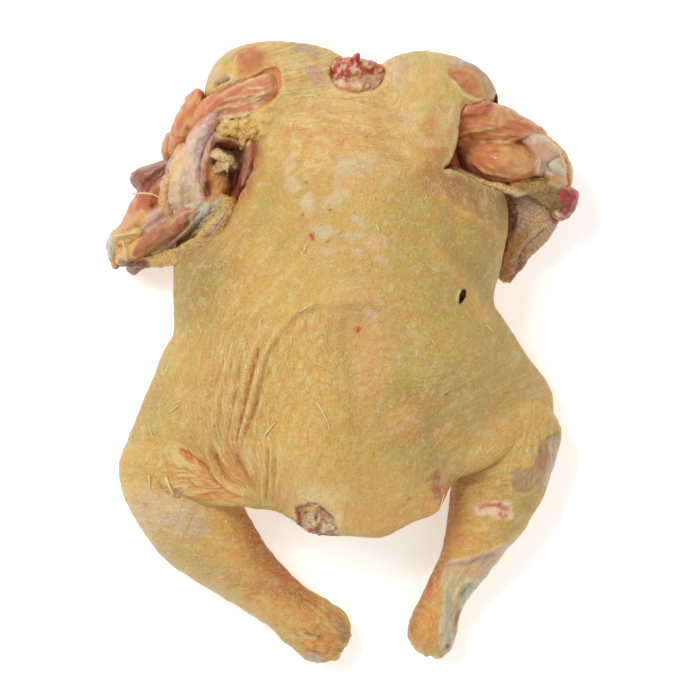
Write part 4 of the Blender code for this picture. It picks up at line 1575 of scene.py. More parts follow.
def drumstick(name, stations, areas, strokes, folds, lines, low, high, end):
    """A leg: pimply skin with slits, tears and windows, and the bare cut end."""
    leg = melted([limb(name, stations, 16)], name, LEG_VOXEL, 8)
    refined(leg, facing=0.12, low=4.0)
    clay = Clay(leg)
    clay.swollen(0.5 * cloud(clay.points, 9.0, 30) + 0.3 * cloud(clay.points, 3.0, 31))
    clay.wrinkled(Grain(lines, low, high, 1.1, (0.6, -1.0)), 0.38)
    clay.furrow *= 0.7
    clay.pimple[:] = 1.0
    for path, width, height in folds:
        clay.raised(path, width, height, taper=0.15)
    clay.feel()
    ragged = np.exp(-((np.hypot(*(clay.plan - np.array(end)).T) / CUT_REACH) ** 4))
    shreds = 1.3 * cloud(clay.points, 3.2, 33) + 0.7 * cloud(clay.points, 1.5, 34)
    clay.swollen(ragged * shreds)
    clay.painted([stroke for stroke in strokes if stroke[1] > BROAD], 0.35, 0.08)
    for outline, colour, strength in areas:
        touched, share = clay.within(outline, -0.6, 0.9, 0.8)
        clay.pimple[touched] *= 1.0 - share
        clay.wet[touched] += 0.5 * share
        clay.fill(outline, colour, strength)
    clay.painted([stroke for stroke in strokes if stroke[1] <= BROAD], 0.35, 0.08)
    # Rust in the wrinkles' hollows and cream on their crests: the skin's own tones with painted shade and
    # painted highlight.
    clay.streaked("rust", 0.35, "cream", 0.2)
    clay.laid()
    return clay


def left_drumstick():
    stations = [
        (-79, -50.5, 25, 26, 22),
        (-67.5, -78.6, 23, 24.5, 22),
        (-46, -98.2, 20, 15.5, 18),
        (-27.6, -114.2, 16, 11.5, 13.5),
        (-10.5, -126.5, 15, 15.5, 14.5),
    ]
    work = (LEFT_LEG_AREAS, LEFT_LEG_STROKES, LEFT_LEG_FOLDS, LEFT_LEG_LINES)
    return drumstick("left_drumstick", stations, *work, (-112, -148), (14, -20), (-8.6, -131.8))


def right_drumstick():
    stations = [
        (75, -34, 24, 25, 21),
        (67.5, -69, 22, 21, 21),
        (55, -93, 18, 11.2, 15.5),
        (43.7, -111, 15, 9.2, 12.5),
        (39.5, -126.5, 15, 12.3, 13.5),
    ]
    work = (RIGHT_LEG_AREAS, RIGHT_LEG_STROKES, RIGHT_LEG_FOLDS, RIGHT_LEG_LINES)
    return drumstick("right_drumstick", stations, *work, (20, -148), (108, -10), (38.2, -133.7))


# ---------------------------------------------------------------- neck


NECK_MEAT = rows("""
0.9: -8 124.6 61 3.1 6, -3.5 125.7 64 5 9, 2.2 126 66 5.4 9, 8.4 126 66 5.4 9, 14.2 124.9 63 4.5 8,
    18.2 123.3 60 2.2 6
0.9: 1.8 126.6 70 3.1 6, 4 129 73 2.2 5, 5.7 131.8 74 1.2 3, 6.2 133.4 73 0.5 2
0.9: 8.4 128 69 2.7 5, 12.4 127.5 69 2.2 4, 15 126.4 67 1.8 4
0.9: 0.9 129.8 68 2.2 5, -2.7 128.6 67 2.7 5, -5.8 126.1 65 1.8 4
0.9: -6.2 121.5 67 2.7 5, -1.3 118.6 70 4 6, 4 118.1 71 4 6
0.9: 7.5 119 71 4.5 6, 12.4 120 70 4.5 6, 16.3 122.4 67 2.7 5
0.9: -4 122.3 68 1.8 5, -0.4 123.9 71 1.8 5, 2.2 126.1 71 1.4 4
0.9: -4 124.5 50 6.5 16, 5.8 124.5 50 8 18, 14.7 123.6 50 6.5 16
""")

NECK_AREAS = rows("""
coral 0.9: -8.6 125.5, -6.3 131, -2.2 134.1, 2.2 134.6, 4 131, 2.2 127.4, -3.1 125.1
scarlet 0.55: -6.8 126.5, -4 131, 0 132.8, 2.2 130.1, -0.5 126.9, -4 124.7
scarlet 1: 2.2 127.4, 2.7 132.8, 5.9 137.2, 7.2 134.6, 8.6 129.2, 5.9 127.4
gore 0.8: 3.6 130.1, 5.4 132.8, 7.2 129.6, 5.4 128.2
brick 0.8: 7.2 127.4, 8.1 133.7, 14 131.8, 17.6 128.2, 14.8 125.5, 10.3 126
scarlet 0.5: 8.6 129.2, 10.3 131.8, 14 130.5, 14 127.8
rose 0.95: -6.8 124.7, -3.1 125.1, 1.4 126.9, 3.1 126, 2.7 119.2, -1.8 119.2, -5.4 121
butter 0.95: 2.2 126.5, 5 127.4, 7.7 125.5, 8.6 119.2, 5 118.4, 2.2 119.2
tan 0.9: 7.7 125.5, 11.2 126.5, 15.8 126, 18.4 126.5, 17.6 122, 14 119.2, 9 118.8
rose 0.6: 9.5 124.7, 14 124.7, 15.8 122, 12.2 120.2, 9.5 121
""")

NECK_STROKES = rows("""
1.1 pearl 0.95: 3.6 128.7, 6.8 128.2
0.8 gore 0.8: -6.3 126, -3.6 125.1, -0.5 126.5
0.8 scarlet 0.9: -2.2 126.9, 0.9 128.7, 2.2 131
0.8 pearl 0.8: -3.6 128.7, -1.4 130.5
0.7 pearl 0.5: -1.8 132.8, 0.9 132.8
0.9 pearl 0.7: 8.6 131, 11.2 129.6
0.6 pearl 0.6: 12.2 131.4, 14.4 129.2
0.7 scarlet 0.6: -4.5 121, -1.4 120.2, 3.1 119.7
0.9 pearl 0.75: -4 123.3, 0.5 122.9
0.8 pearl 0.7: -3.1 121.5, 0 121
0.6 pit 0.8: -3.6 124.2
0.5 pit 0.8: 7.2 125.5
0.6 gore 0.8: 16.7 127.4
0.9 lilac 0.7: 15.8 123.8, 17.1 121
1.2 tan 0.8: 17.6 128.2, 19.8 129.2
""")


NECK_FIBRES = rows("""
0.5: -6.8 128.2, 5 132.8, 15.8 128.2
0.4: -4.5 122, 15.8 122.9
""")

NECK_MOTTLES = rows("""
scarlet pearl scarlet 1.4 0.65: -9.5 123.8, -7.7 131, -0.5 135.5, 17.6 131.8, 19.4 123.8
pearl bark rose 1.6 0.45: -7.7 125.5, 2.2 126.5, 18.4 125.5, 15.8 118.4, -4 118.4
""")


def neck_stump():
    fibres = Grain(NECK_FIBRES, (-12, 115), (22, 142), 1.1)
    meat = wing_part("neck_stump", NECK_MEAT, "meat", 0.7, 2)
    torn(meat, NECK_AREAS, NECK_STROKES, fibres, 0.2)
    for outline, *colours, size, strength in NECK_MOTTLES:
        meat.mottled(outline, colours, size, strength)
    meat.swollen(0.8 * cloud(meat.points, 1.5, 40))
    return [(meat, MEAT, "flesh")]


# ---------------------------------------------------------------- quills


# Stubs and barbs left in the skin: paths with their half widths.
QUILLS = rows("""
0.4: -20.2 19.8, -16.2 22.1, -12.2 23.4
0.4: -14 -3.1, -9.9 -5, -5 -7.7
0.7: -12.6 -21.6, -10.3 -24.8, -9 -28.4
0.5: -9.5 -26.6, -7.7 -30.2, -6.8 -34.2
0.6: -36 -35.8, -34 -33.3, -31.5 -30.6
0.6: 14.2 58.5, 15.5 55.8
0.5: -18.4 46.4, -17.6 49.1, -16.7 50.4
0.4: -20.2 46.8, -18.4 45, -15.8 43.6, -13.5 44.6
0.4: -78.3 -25.2, -74.2 -22.1
0.4: -87.8 -33.8, -86.4 -37.4
0.6: -88.2 -54.5, -87.8 -59.9
0.8: -80.5 -55.4, -79.2 -59, -77.4 -62.6
0.4: 43.2 -68, 44.6 -62.6
0.4: 63.5 13.5, 66.6 10.8
0.3: -7.7 3.6, -5.4 1.4
0.3: -64.4 10.3, -66.2 14
0.3: -5 -18, -2.7 -19.8
0.3: 39.1 6.8, 41 4.5
0.3: 63.5 -44.1, 67.5 -41
0.3: -37.4 16.7, -38.2 13.1
0.3: -58.1 -32.9, -56.7 -36.5
""")

WING_QUILLS = rows("""
0.5: -95.4 72.5 45, -91.4 72.9 47, -86.9 72.5 48, -81.9 70.2 46
0.4: -103.5 53.6 34, -97.7 54.5 38, -92.2 55.4 40
0.4: -99.9 50.9 38, -99 46.4 37, -98.5 42.3 34
""")


def quills(skins):
    """Small pale barbs on the skins given, joined as one piece."""
    barbs = []
    for path, width in QUILLS:
        heights = [max(skin.top(place) for skin in skins) for place in path]
        path = [(x, y, z + 0.4 * width) for (x, y), z in zip(path, heights)]
        barbs.append((path, width))
    pieces = []
    for i, (path, width) in enumerate((*barbs, *WING_QUILLS)):
        sizes = np.linspace(width, 0.55 * width, len(path))
        stations = []
        for (x, y, z), size in zip(path, sizes):
            nearer = (EYE_HEIGHT - z) / (EYE_HEIGHT - EYE_LEVEL)
            stations.append((x * nearer, y * nearer, z, size, size))
        pieces.append(limb(f"quill_{i}", stations, 6, 0.9))
    whole = joined(pieces, "quills")
    return Clay(whole, "cream")


# ---------------------------------------------------------------- wings


LEFT_WING_MEAT = rows("""
0.9: -23.9 120 63 6.8 12, -30.5 118.9 67 8.6 13, -41.1 115.8 67 8.6 13, -51.8 113 62 6.8 12,
    -60.9 109.8 57 5.4 10, -66.4 102.9 53 3.6 9
0.9: -28.3 113.7 64 4 9, -38.4 109.6 67 4 9, -48.2 107.1 64 3.6 8, -55.5 105.6 60 2.7 7
0.9: -58.4 99.4 52 2.2 7, -61.1 90.5 52 2.7 8, -62.5 84.3 50 2.7 8, -63.9 75.5 47 2.7 7
0.9: -65.7 115.4 46 4 9, -67.6 110.1 45 6.3 11, -70.8 103.9 43 6.3 12, -73.6 97.4 40 6.3 12,
    -76.9 91.3 36 4 10
0.9: -69.5 114.2 46 2.6 5, -66.4 116 47 3 5, -63.1 113.4 47 2.8 5
0.3: -76.4 87.2 28 3.1 8, -84.5 83.6 27 4 9, -90.9 80.1 26 5.4 9, -94.1 78.3 25 5.9 9
0.9: -82.9 78.3 24 6.3 14, -88.8 71.2 22 6.8 14, -93.9 64 20 5.9 12, -98.6 57.7 18 4.5 10
0.9: -63.1 85.5 44 5.4 9, -58.7 78.4 43 7.7 11, -57 71.8 40 6.8 10, -61.5 66.9 38 5.4 9
0.9: -67 65.2 37 6.3 11, -77.8 58 36 6.8 12, -87 51.8 32 6.8 12, -94.4 47.4 28 5.9 10, -100.9 43.9 26 4 9
0.9: -74.9 67.8 40 3.1 6, -84 63.3 38 4 8, -90.5 58.5 35 3.6 8
0.9: -89.9 63.7 28 4 10, -98.2 56.6 25 5 11, -104.7 50.3 22 4.5 10
0.5: -92.1 43.1 20 3.6 9, -96.8 39.5 18 3.6 8
0.9: -50.7 106.3 40 6.3 14, -59.7 96.6 38 9 14, -67.2 79.8 32 14.4 13, -82 62 24 11.7 11,
    -94.1 50.5 17 7.7 9
0.9: -49.1 102.3 32 7.2 16, -46.5 88 30 8.1 16, -50.2 71 27 7.2 14
0.9: -42.7 96.2 54 3.6 12, -41.4 90.4 54 4 13, -41.9 83.3 52 4 13, -45.1 74.5 50 3.6 12
0.9: -57.9 98.5 52 3.1 8, -52.1 96.2 53 4 8, -46.3 94.4 53 3.1 8
""")

LEFT_WING_PALE = rows("""
0.9: -55.6 109.1 54 4 9, -61.4 102.8 55 5.4 10, -65.9 95.8 53 5.4 10, -67.3 88.7 51 4.7 9,
    -66.6 81.7 48 3.8 8, -65.3 72.9 45 3.8 8, -63.6 65.9 42 4.5 8
0.9: -71.3 92.8 42 4 9, -74 83.8 42 6.8 11, -74.4 75.8 41 8.6 12, -76.8 66.9 38 7.7 12
0.9: -67.7 67.7 41 3.1 5, -63.6 65.4 44 5.4 6, -58.7 67.2 43 4.5 5, -55.1 69.5 42 2.2 4
0.9: -92.5 44.7 30 1.4 3, -77.8 50.3 37 1.6 3, -70.4 56.1 41 2.2 4, -65 62.3 43 3.1 4
0.9: -104.6 54.6 20 2.4 6, -107.2 49.1 18 2.4 8, -105 43.4 17 2.2 6
0.9: -79.3 98.7 32 2.2 5, -80.7 92.5 31 2.7 6, -79.9 87.1 30 2.2 5
""")

LEFT_WING_FAT = rows("""
0.9: -72.9 89.9 46 1.8 5, -79.2 78.3 45 2.7 6, -81.5 69.4 43 2.7 6, -78.9 62.3 42 2.7 5,
    -75.3 57.9 41 1.8 4
0.9: -95.2 53.7 30 5 8, -101.3 48.4 27 5.9 9, -103.4 43.5 22 4 8
0.9: -100.1 42.1 24 2.7 7, -87.9 41.9 31 3.6 8, -76.2 43.9 42 4.5 9, -65.5 47.7 52 5.4 10,
    -58.2 54.2 58 5.4 10, -52.8 61.7 60 4.5 9, -49.7 68 58 3.1 8
0.9: -59.8 62.5 36 12.2 18, -78.2 54.7 26 11.2 18, -94.2 47.8 15 7.7 12
0.9: -32.3 108.3 66 2.2 5, -36.7 106.5 67 2.7 6, -41.1 104.7 67 2.7 6
0.9: -42.9 103 66 2.7 5, -44.7 101.2 66 2.7 5
0.9: -47.3 103.1 65 2.2 5, -49.1 101.3 65 2.7 5
0.9: -51.8 103.6 63 2.2 5, -53.6 101.9 63 2.2 5
0.9: -55.4 100.6 62 1.8 4, -53.6 98.4 62 2.2 4
0.9: -50 98.8 63 2.2 5, -48.3 97.9 63 2.2 5
0.9: -43.7 98.1 67 2.7 5, -45.1 95.4 67 2.2 5, -45.6 92.9 65 1.4 4
0.9: -39.3 100.2 69 2.2 4, -41.5 97.5 69 2.2 4
0.9: -60 89.8 56 2.2 3, -55.5 89.3 58 3.6 3, -50.6 87.5 58 3.1 2.5, -48.9 84.5 56 1.8 2
0.9: -54.2 85.4 56 3.1 3, -57.5 82.4 53 2.7 3
0.9: -52 84 57 1.1 2, -52.5 81.8 56 0.7 1.6, -52.1 78.8 54 0.5 1
""")

RIGHT_WING_MEAT = rows("""
0.9: 46 105 50 7.7 12, 57.9 104.8 52 7.4 13, 69.2 104.2 50 7 13, 79.1 101.6 47 5.8 12, 87 98 43 4.4 9
0.9: 58.4 98.6 50 2.2 6, 71.3 97.2 51 2.7 7, 82.6 99.2 48 2.7 6
0.9: 53 107.7 54 4.5 13, 60.1 109.1 54 5 13, 67.7 108.3 52 5 12, 75 104.9 49 4 11
0.9: 46.3 92.1 38 6.3 12, 56.9 88.6 44 9 14, 67.1 86.8 45 10.3 15, 77.5 86 44 9.9 14, 87.9 85.6 42 6.8 10
0.35: 97 71.5 34 6.5 9, 101 68.3 33 7.2 9
0.6: 95.2 64.1 30 5.4 9, 99.2 66.8 31 6.3 10, 101.9 70.3 32 3.6 9
0.9: 42.7 105.7 36 10.8 15, 58.5 98.9 36 15.3 15, 76.5 93.2 34 14.4 14, 91.6 84.4 30 9.9 12
0.9: 42.9 92.6 28 9.9 14, 58.7 82.7 28 9.9 14, 72.4 74.7 24 9 12
""")

RIGHT_WING_PALE = rows("""
0.9: 80.2 99 43 4 8, 87.8 92.3 43 7.2 12, 92.9 85.7 40 7.7 13, 95.2 77.7 38 5.9 12
0.9: 93.2 85.2 51 3.8 4, 95.4 83.8 51 3.8 4
0.9: 94.8 63.3 38 2.2 4, 97.5 62 37 2.2 4
""")

RIGHT_WING_FAT = rows("""
0.9: 86.5 98.8 38 2.8 8, 92.8 94 37 3 9, 97.8 88.5 35 3.2 10, 100.3 82.6 33 3.4 11, 98.8 76.2 31 3.6 10
0.9: 74.9 76.2 42 3.1 5, 85.6 75.7 43 5.4 7, 92.8 72.7 41 6.3 9, 97.6 67.9 36 6.3 10
0.6: 87.7 74.6 27 15.3 8, 85 64.6 27 14 7, 82 55.7 24 11.2 6, 77.6 47.7 20 8.1 6, 74.2 39.6 15 5.9 6,
    73.4 36 12 5 5
0.9: 47.6 83.2 54 2.2 2.5, 55.7 79.7 53 2.2 2, 62.9 76.3 51 2.2 2, 71 74.6 48 2.2 2, 77.4 72 45 2.2 2,
    83.8 73 43 1.8 2
""")


# Lines that the muscles' fibres follow, each with its strength.
LEFT_FIBRES = rows("""
0.3: -47.2 132.8, -37.4 128.2
0.8: -29.2 123.8, -40.5 122, -52.6 117.5, -62.6 111.2, -67 104.9
0.9: -31.1 115.7, -42.8 112, -55.4 108.5, -63.5 104.9
0.35: -59 108.5, -65.2 101.2, -68.9 92.2, -68.4 82.4, -66.2 72
0.7: -59.4 96.8, -62.6 87.8, -63.9 78.8
0.3: -68.9 116.5, -71.5 108, -74.2 99, -77.9 89.5
0.35: -74.2 87.8, -78.8 78.8, -81 67.5, -77 59.9
0.4: -70.7 88.7, -73.4 78.8, -74.2 67.5
0.2: -60.8 85.5, -55.4 76.5, -55.4 69.8
0.6: -67 66.2, -77.9 58.1, -87.8 50.9, -96.8 44.6
0.3: -78.8 66.2, -87.8 62.6, -95 55.4
0.3: -83.2 82.4, -94.5 77.9
0.3: -86.9 76.5, -92.2 66.2
0.2: -96.8 53.6, -104 47.2
""")

RIGHT_FIBRES = rows("""
0.55: 50 109.4, 65.2 111.2, 78.8 107.5, 87.8 101.2
0.7: 50 102.2, 65.2 103, 80.5 101.2
0.55: 50 96.8, 60.8 93.2, 74.2 89.5, 86 88.7
0.6: 50 89.5, 60.8 83.2, 72 79.7, 83.2 81.5
0.4: 90 96.8, 96.8 90, 100.4 81
0.3: 50 127.4, 60.8 117.5
0.2: 87.8 69.8, 94.5 63
0.7: 93.2 59.9, 83.2 53.6, 76 44.6, 71.5 34.6
0.3: 83.2 69.8, 78.8 58.5, 73.4 45
""")

# What shows in the torn wings: first areas inside outlines, then strokes along paths with half widths.
# Some areas are painted shade over dark flesh: in the left wing, the wine, liver, gore and pit areas
# in the gap between the upper arm and the body, and the umber area in the hole at the tip; in the
# right wing, the liver and pit areas under the upper arm's root, the wine area in the gap beside the
# flap, and the gore and wine areas along the top of the red end.
LEFT_WING_AREAS = rows("""
salmon 0.9: -29.2 127.4, -28.4 120.2, -34.6 117.5, -45.5 115.7, -53.6 113, -59.9 109.4, -63.9 104,
    -68 100.4, -65.2 109.4, -58.1 117.9, -47.2 122.9, -37.4 126
brick 0.55: -29.2 116.5, -34.6 111.2, -44.6 108, -54.5 106.2, -59 108.9, -49.1 111.6, -39.1 114.3
pearl 0.45: -31.1 116.5, -34.6 112, -40.1 110.2, -41.9 113, -37.4 114.8
meat 0.7: -72.5 118.8, -65.2 119.2, -61.6 113.9, -64.4 107.5, -69.8 96.8, -75.2 89.5, -80.5 89.5,
    -78.8 97.7, -77.9 106.7, -75.2 113.4
meat 0.7: -84.2 102.2, -78.8 101.2, -77.9 92.2, -79.7 86.9, -83.2 89.5
coral 0.5: -76 106.7, -69.8 109.4, -67 102.2, -70.7 94, -75.2 92.2
coral 0.4: -70.7 119.2, -64.4 120.2, -60.8 115.7, -65.2 112, -70.7 114.8
veil 0.95: -63 109.8, -54.5 110.2, -53.6 105.8, -58.1 99.5, -60.3 92.2, -62.6 83.2, -63 73.4, -67.5 71.5,
    -69.8 81, -72.5 90, -71.5 95.9, -67 103
brick 0.4: -62.1 109.4, -55.4 109.4, -55.4 105.8, -59.9 102.2, -63.5 104
pearl 0.85: -72.5 94, -69.8 87.8, -67 78.8, -66.2 68.9, -71.5 65.2, -77.9 66.2, -83.2 70.7, -83.2 78.8,
    -77.9 87.8
rose 0.4: -79.7 77, -72.5 78.8, -72.5 69.8, -77.9 69.8
lilac 0.6: -84.2 82.4, -78.8 84.2, -81.5 75.2, -85 77
liver 0.75: -77 89.5, -78.8 85, -83.2 79.7, -87.8 75.2, -90.9 70.7, -95 73.4, -98.5 77.9, -97.7 83.2,
    -85 87.8
bark 0.8: -92.2 85, -86.9 87.8, -79.7 90.5, -78.8 87.8, -86 84.2, -91.4 82.4
gore 0.9: -98.5 81.5, -95.4 84.2, -92.2 80.5, -91.4 74.2, -93.2 70.7, -97.7 73.4
brick 0.6: -86.9 77.9, -82.4 75.2, -80.5 67.5, -87.8 63.5, -94 64.4, -95 69.8, -90.9 75.2
apricot 0.55: -63.5 86.4, -58.5 83.2, -52.6 79.7, -50 72.5, -52.6 68, -59 66.2, -63.9 68.9, -65.7 76.5
cream 0.95: -63 93.2, -57.1 94, -50.9 92.2, -47.2 87.8, -49.1 83.2, -52.2 78.3, -55.4 81.9, -60.3 83.2
salmon 0.6: -59.9 88.7, -56.2 89.5, -55.4 84.2, -59 82.4
pearl 0.6: -55.4 92.2, -50.9 91.4, -49.1 87.8, -52.6 88.7
wine 0.95: -58.1 98.5, -54.5 99, -48.1 95, -44.6 95.9, -41 91.4, -41 82.4, -46.4 69.8, -49.5 70.7,
    -51.8 77, -52.6 81.9, -47.2 84.6, -50 89.1, -56.2 92.2
bark 0.9: -47.2 96.8, -42.3 95, -41.4 89.5, -42.8 82.4, -45.9 76, -47.7 77.9, -46.8 84.2, -47.7 91.4
liver 0.8: -59.9 99.5, -55.4 99, -49.1 95.9, -50 93.6, -55.4 94, -59.4 95.9
gore 0.6: -52.2 83.2, -47.7 84.2, -47.7 77, -50.4 72.5, -51.8 76
pit 0.6: -49.1 94, -46.8 92.2, -47.7 85, -50.9 86
corn 0.9: -56.2 107.5, -44.6 108.5, -36.5 110.2, -39.1 103, -42.8 95, -46.4 94, -49.1 98.5, -55.4 97.2,
    -59 98.5
bark 0.85: -96.8 44.6, -92.2 52.6, -86 58.1, -80.5 61.2, -75.2 64.4, -68 66.6, -66.2 60.8, -70.7 54.9,
    -77.9 50, -88.7 44.6
brick 0.5: -95 47.2, -88.7 53.6, -82.4 56.2, -84.2 50.9, -90.5 46.4
lilac 0.75: -90.5 63.9, -84.2 67, -77 68, -75.2 63.9, -81.5 60.3, -87.8 56.2, -91.4 56.2
bluish 0.9: -69.8 69.3, -62.6 68, -54.5 71.1, -55.4 66.2, -61.6 59.4, -67 54.5, -69.8 59.9
butter 0.85: -102.2 41.9, -87.8 45.5, -77.9 48.6, -69.8 53.1, -64.4 58.5, -59.9 64.8, -55.4 70.7,
    -50.4 71.5, -48.1 68, -52.6 59.9, -59 52.6, -66.2 46.4, -76 41.9, -87.8 39.1, -99.5 39.1
bark 0.4: -76 41.9, -66.2 46.4, -59 52.6, -52.6 60.8, -54.5 63.5, -62.6 54.5, -69.8 49.5, -77.9 46.4
fat 0.85: -106.7 53.6, -97.7 57.1, -92.2 54.5, -95 47.2, -96.8 42.8, -104 41, -107.5 45.5
bluish 0.9: -110.2 51.8, -105.8 55.4, -104 51.8, -104.9 44.6, -107.5 42.8, -110.2 47.2
apricot 0.7: -91.4 66.2, -97.7 60.8, -104.9 55.4, -104.9 51.8, -98.5 54.5, -91.4 58.1, -87.8 62.6
wine 1: -101.2 41.9, -90.5 42.8, -89.5 39.1, -92.2 34.6, -98.5 34.6
liver 0.75: -102.2 42.8, -89.5 42.8, -88.7 33.8, -102.2 33.8
umber 0.9: -100.8 41, -95.4 41, -94 38.2, -97.7 37.8
""")

LEFT_WING_STROKES = rows("""
2.2 cream 0.6: -55.4 106.7, -49.1 107.1, -42.8 108
2 gold 0.5: -53.6 100.4, -47.2 98.5, -41.9 100.4
0.35 cream 0.9: -47.2 118.4, -41.9 120.2, -37.4 120.2, -32.9 122
0.35 cream 0.8: -55.4 114.3, -49.1 116.1, -42.8 117, -34.6 118.4
0.35 pearl 0.8: -50.9 112, -44.6 113.9, -37.4 115.7
0.5 scarlet 0.5: -59 113, -54.5 115.7, -49.1 117.9
0.6 brick 0.7: -61.6 109.4, -56.2 112, -50.9 114.3
1.4 bluish 0.85: -59.9 119.7, -53.6 122, -47.2 125.1
1.4 butter 0.6: -63.5 117.5, -60.8 124.7, -55.4 131.8, -50 135.5
1.8 pearl 0.5: -34.6 133.7, -32.9 129.2, -37.4 127.4
0.6 cream 0.7: -29.2 128.2, -40.1 124.7, -49.1 121, -59 115.7
1.4 brick 0.7: -55.4 117, -62.6 109.4, -67 102.2
1.4 brick 0.45: -42.8 120.2, -49.1 118.4, -54.5 115.7
0.7 cream 0.8: -28.4 122.9, -33.8 119.2, -41.9 115.7, -50.9 112.5, -59.9 109.8
0.5 cream 0.7: -35.6 116.1, -42.8 113.4, -50.9 111.6
0.5 cream 0.5: -37.4 110.7, -45.5 108.5, -53.6 106.7
1.6 brick 0.8: -59 98.5, -61.6 91.4, -63.9 80.5, -64.4 76
1 cream 0.5: -65.2 102.2, -68 95.9, -68.9 88.7, -67.5 79.7
1.4 cream 0.4: -69.8 105.8, -72.5 102.2, -74.2 97.7
0.9 cream 0.6: -71.5 90.5, -75.2 78.8, -74.2 67
0.9 cream 0.8: -68 80.5, -68.9 69.8, -68 63.5, -68.9 57.1
2 fat 0.85: -73.4 90.5, -79.7 79.7, -81.9 69.8, -78.8 62.1, -75.6 58.1
1.2 grey 0.8: -77.9 87.3, -86 84.6, -93.2 82.4
1.4 wine 0.75: -79.7 84.2, -86.9 78.3, -90 73.4
1.1 gore 0.75: -62.1 78.3, -61.6 71.1
1.1 moss 0.8: -92.2 44.1, -77.9 50, -70.7 55.8, -66.2 61.2
0.6 bluish 0.6: -76 52.2, -70.7 57.1, -68 61.6
1 wine 0.75: -63.5 51.8, -59.9 56.2, -55.4 62.6, -52.2 67.5
0.5 pearl 0.7: -62.6 53.6, -58.1 59.9, -53.6 66.6
0.5 cream 0.8: -103 53.6, -96.8 54.9, -91.4 57.1
0.5 cream 0.8: -99.9 51.8, -99 46.4, -98.1 41.9
0.5 brick 0.5: -78.8 60.8, -83.2 55.4, -89.5 50
1.4 orange 0.4: -47.2 101.2, -42.8 102.2, -39.1 106.7
""")

RIGHT_WING_AREAS = rows("""
lilac 0.9: 47.2 136.3, 56.2 133.7, 62.6 127.4, 67 119.2, 68.9 113, 63.5 115.7, 60.3 122.9, 54.5 126.9,
    47.2 128.7
meat 0.9: 50 113, 60.8 115.2, 69.8 114.3, 80.5 108.9, 87.8 101.2, 81.9 99.5, 69.8 96.8, 60.8 97.7, 50 98.5
brick 0.85: 50.9 101.2, 50.9 109.4, 56.2 113, 62.6 114.3, 68 113.4, 64.4 108.9, 56.2 102, 50.9 99
apricot 0.6: 67 113.4, 75.2 111.2, 78.8 107.5, 72.5 104, 64.4 104.9
brick 0.4: 74.2 105.8, 81.5 106.7, 83.2 102.2, 76 100.4
meat 0.9: 49.1 97.7, 61.6 96.8, 72 95, 83.2 95, 88.7 87.8, 86 79.7, 76.5 76, 65.2 77.9, 54.5 81.5,
    47.2 87.8
apricot 0.75: 68.9 93.2, 80.5 92.2, 86 86.9, 81.5 81.5, 72.5 83.2
rose 0.5: 55.4 95.9, 66.2 94, 64.4 89.5, 56.2 91.4
liver 0.9: 47.2 98.5, 52.6 98.1, 54 92.2, 56.2 85, 62.6 79.2, 52.6 81, 45.5 86
pit 0.6: 47.2 94, 51.8 93.2, 53.1 85, 48.1 84.2
lilac 0.85: 80.5 98.5, 86 101.2, 92.2 95.9, 96.8 90.5, 91.4 84.2, 87.8 79.7, 84.6 87.8
brick 0.4: 85 95.9, 91.4 94, 90.5 90.5, 86 92.2
grey 0.8: 86.9 89.5, 92.2 87.8, 90.5 82.4, 86.9 83.2
fat 0.75: 85 104, 94 97.7, 100.4 91.4, 104.9 83.2, 104 74.2, 96.8 73.4, 90.5 79.7, 95 79.7, 99.9 83.2,
    98.1 89.5, 91.4 95
brick 0.45: 90.5 80.5, 99.5 82.4, 101.2 76, 96.8 74.2
bluish 0.9: 92.2 87.8, 95.9 89.1, 98.5 86.4, 98.1 82.8, 95 81.9, 92.2 83.7
moss 0.85: 75.2 76, 83.2 79.7, 90.9 79.2, 98.5 75.2, 101.2 71.5, 98.5 64.4, 93.2 60.8, 89.1 64.4,
    82.4 69.8
umber 0.45: 87.8 74.2, 95.9 74.2, 97.7 67, 91.4 66.2
scarlet 1: 96.8 72.5, 102.2 75.2, 107.5 69.8, 105.8 62.6, 97.7 56.2, 92.2 56.2, 88.7 65.2, 93.2 63.5,
    97.7 62.6, 99.9 67, 97.7 69.8
gore 0.7: 96.8 75.2, 102.2 74.2, 105.3 69.8, 102.2 68.9, 97.7 69.8
wine 0.7: 96.8 74.2, 99.5 73.4, 100.4 67, 96.8 68.9
gore 0.5: 95 61.6, 100.4 59.9, 103 63.5, 99.5 63.5
pearl 0.8: 94 64.8, 97.2 64.8, 98.5 62.1, 96.3 60.8, 94 62.1
salmon 0.35: 82.4 92.2, 90 93.2, 93.2 87.8, 87.8 85, 82.4 87.8
apricot 0.6: 93.2 96.8, 99.5 92.2, 101.7 86, 99.5 81.5, 96.8 87.8, 93.2 92.2
tan 0.75: 69.8 73.4, 83.2 71.5, 89.5 65.2, 97.7 57.1, 90.5 49.1, 81.5 40.1, 78.8 32.9, 67 31.1, 69.8 45.5
veil 0.6: 73.4 69.8, 83.2 68.9, 85 59.9, 78.8 55.4, 73.4 58.1
smoke 0.5: 85.5 67.5, 91.4 64.4, 93.2 59, 86 53.6, 81.5 49.1, 82.4 58.1
apricot 0.45: 74.2 53.6, 80.5 51.8, 82.4 43.6, 76 41
apricot 0.45: 85 66.2, 91.4 64.4, 91.4 59.9, 83.2 58.1
wine 0.9: 69.8 73.4, 76 70.7, 77.4 59, 73.4 50, 71.1 40.1, 67 31.1, 68 51.8
umber 0.7: 76 41, 81.5 43.6, 80.5 34.6, 73.4 32.9
rust 0.6: 69.8 44.6, 75.2 45.5, 73.4 33.8, 68 32.9
""")

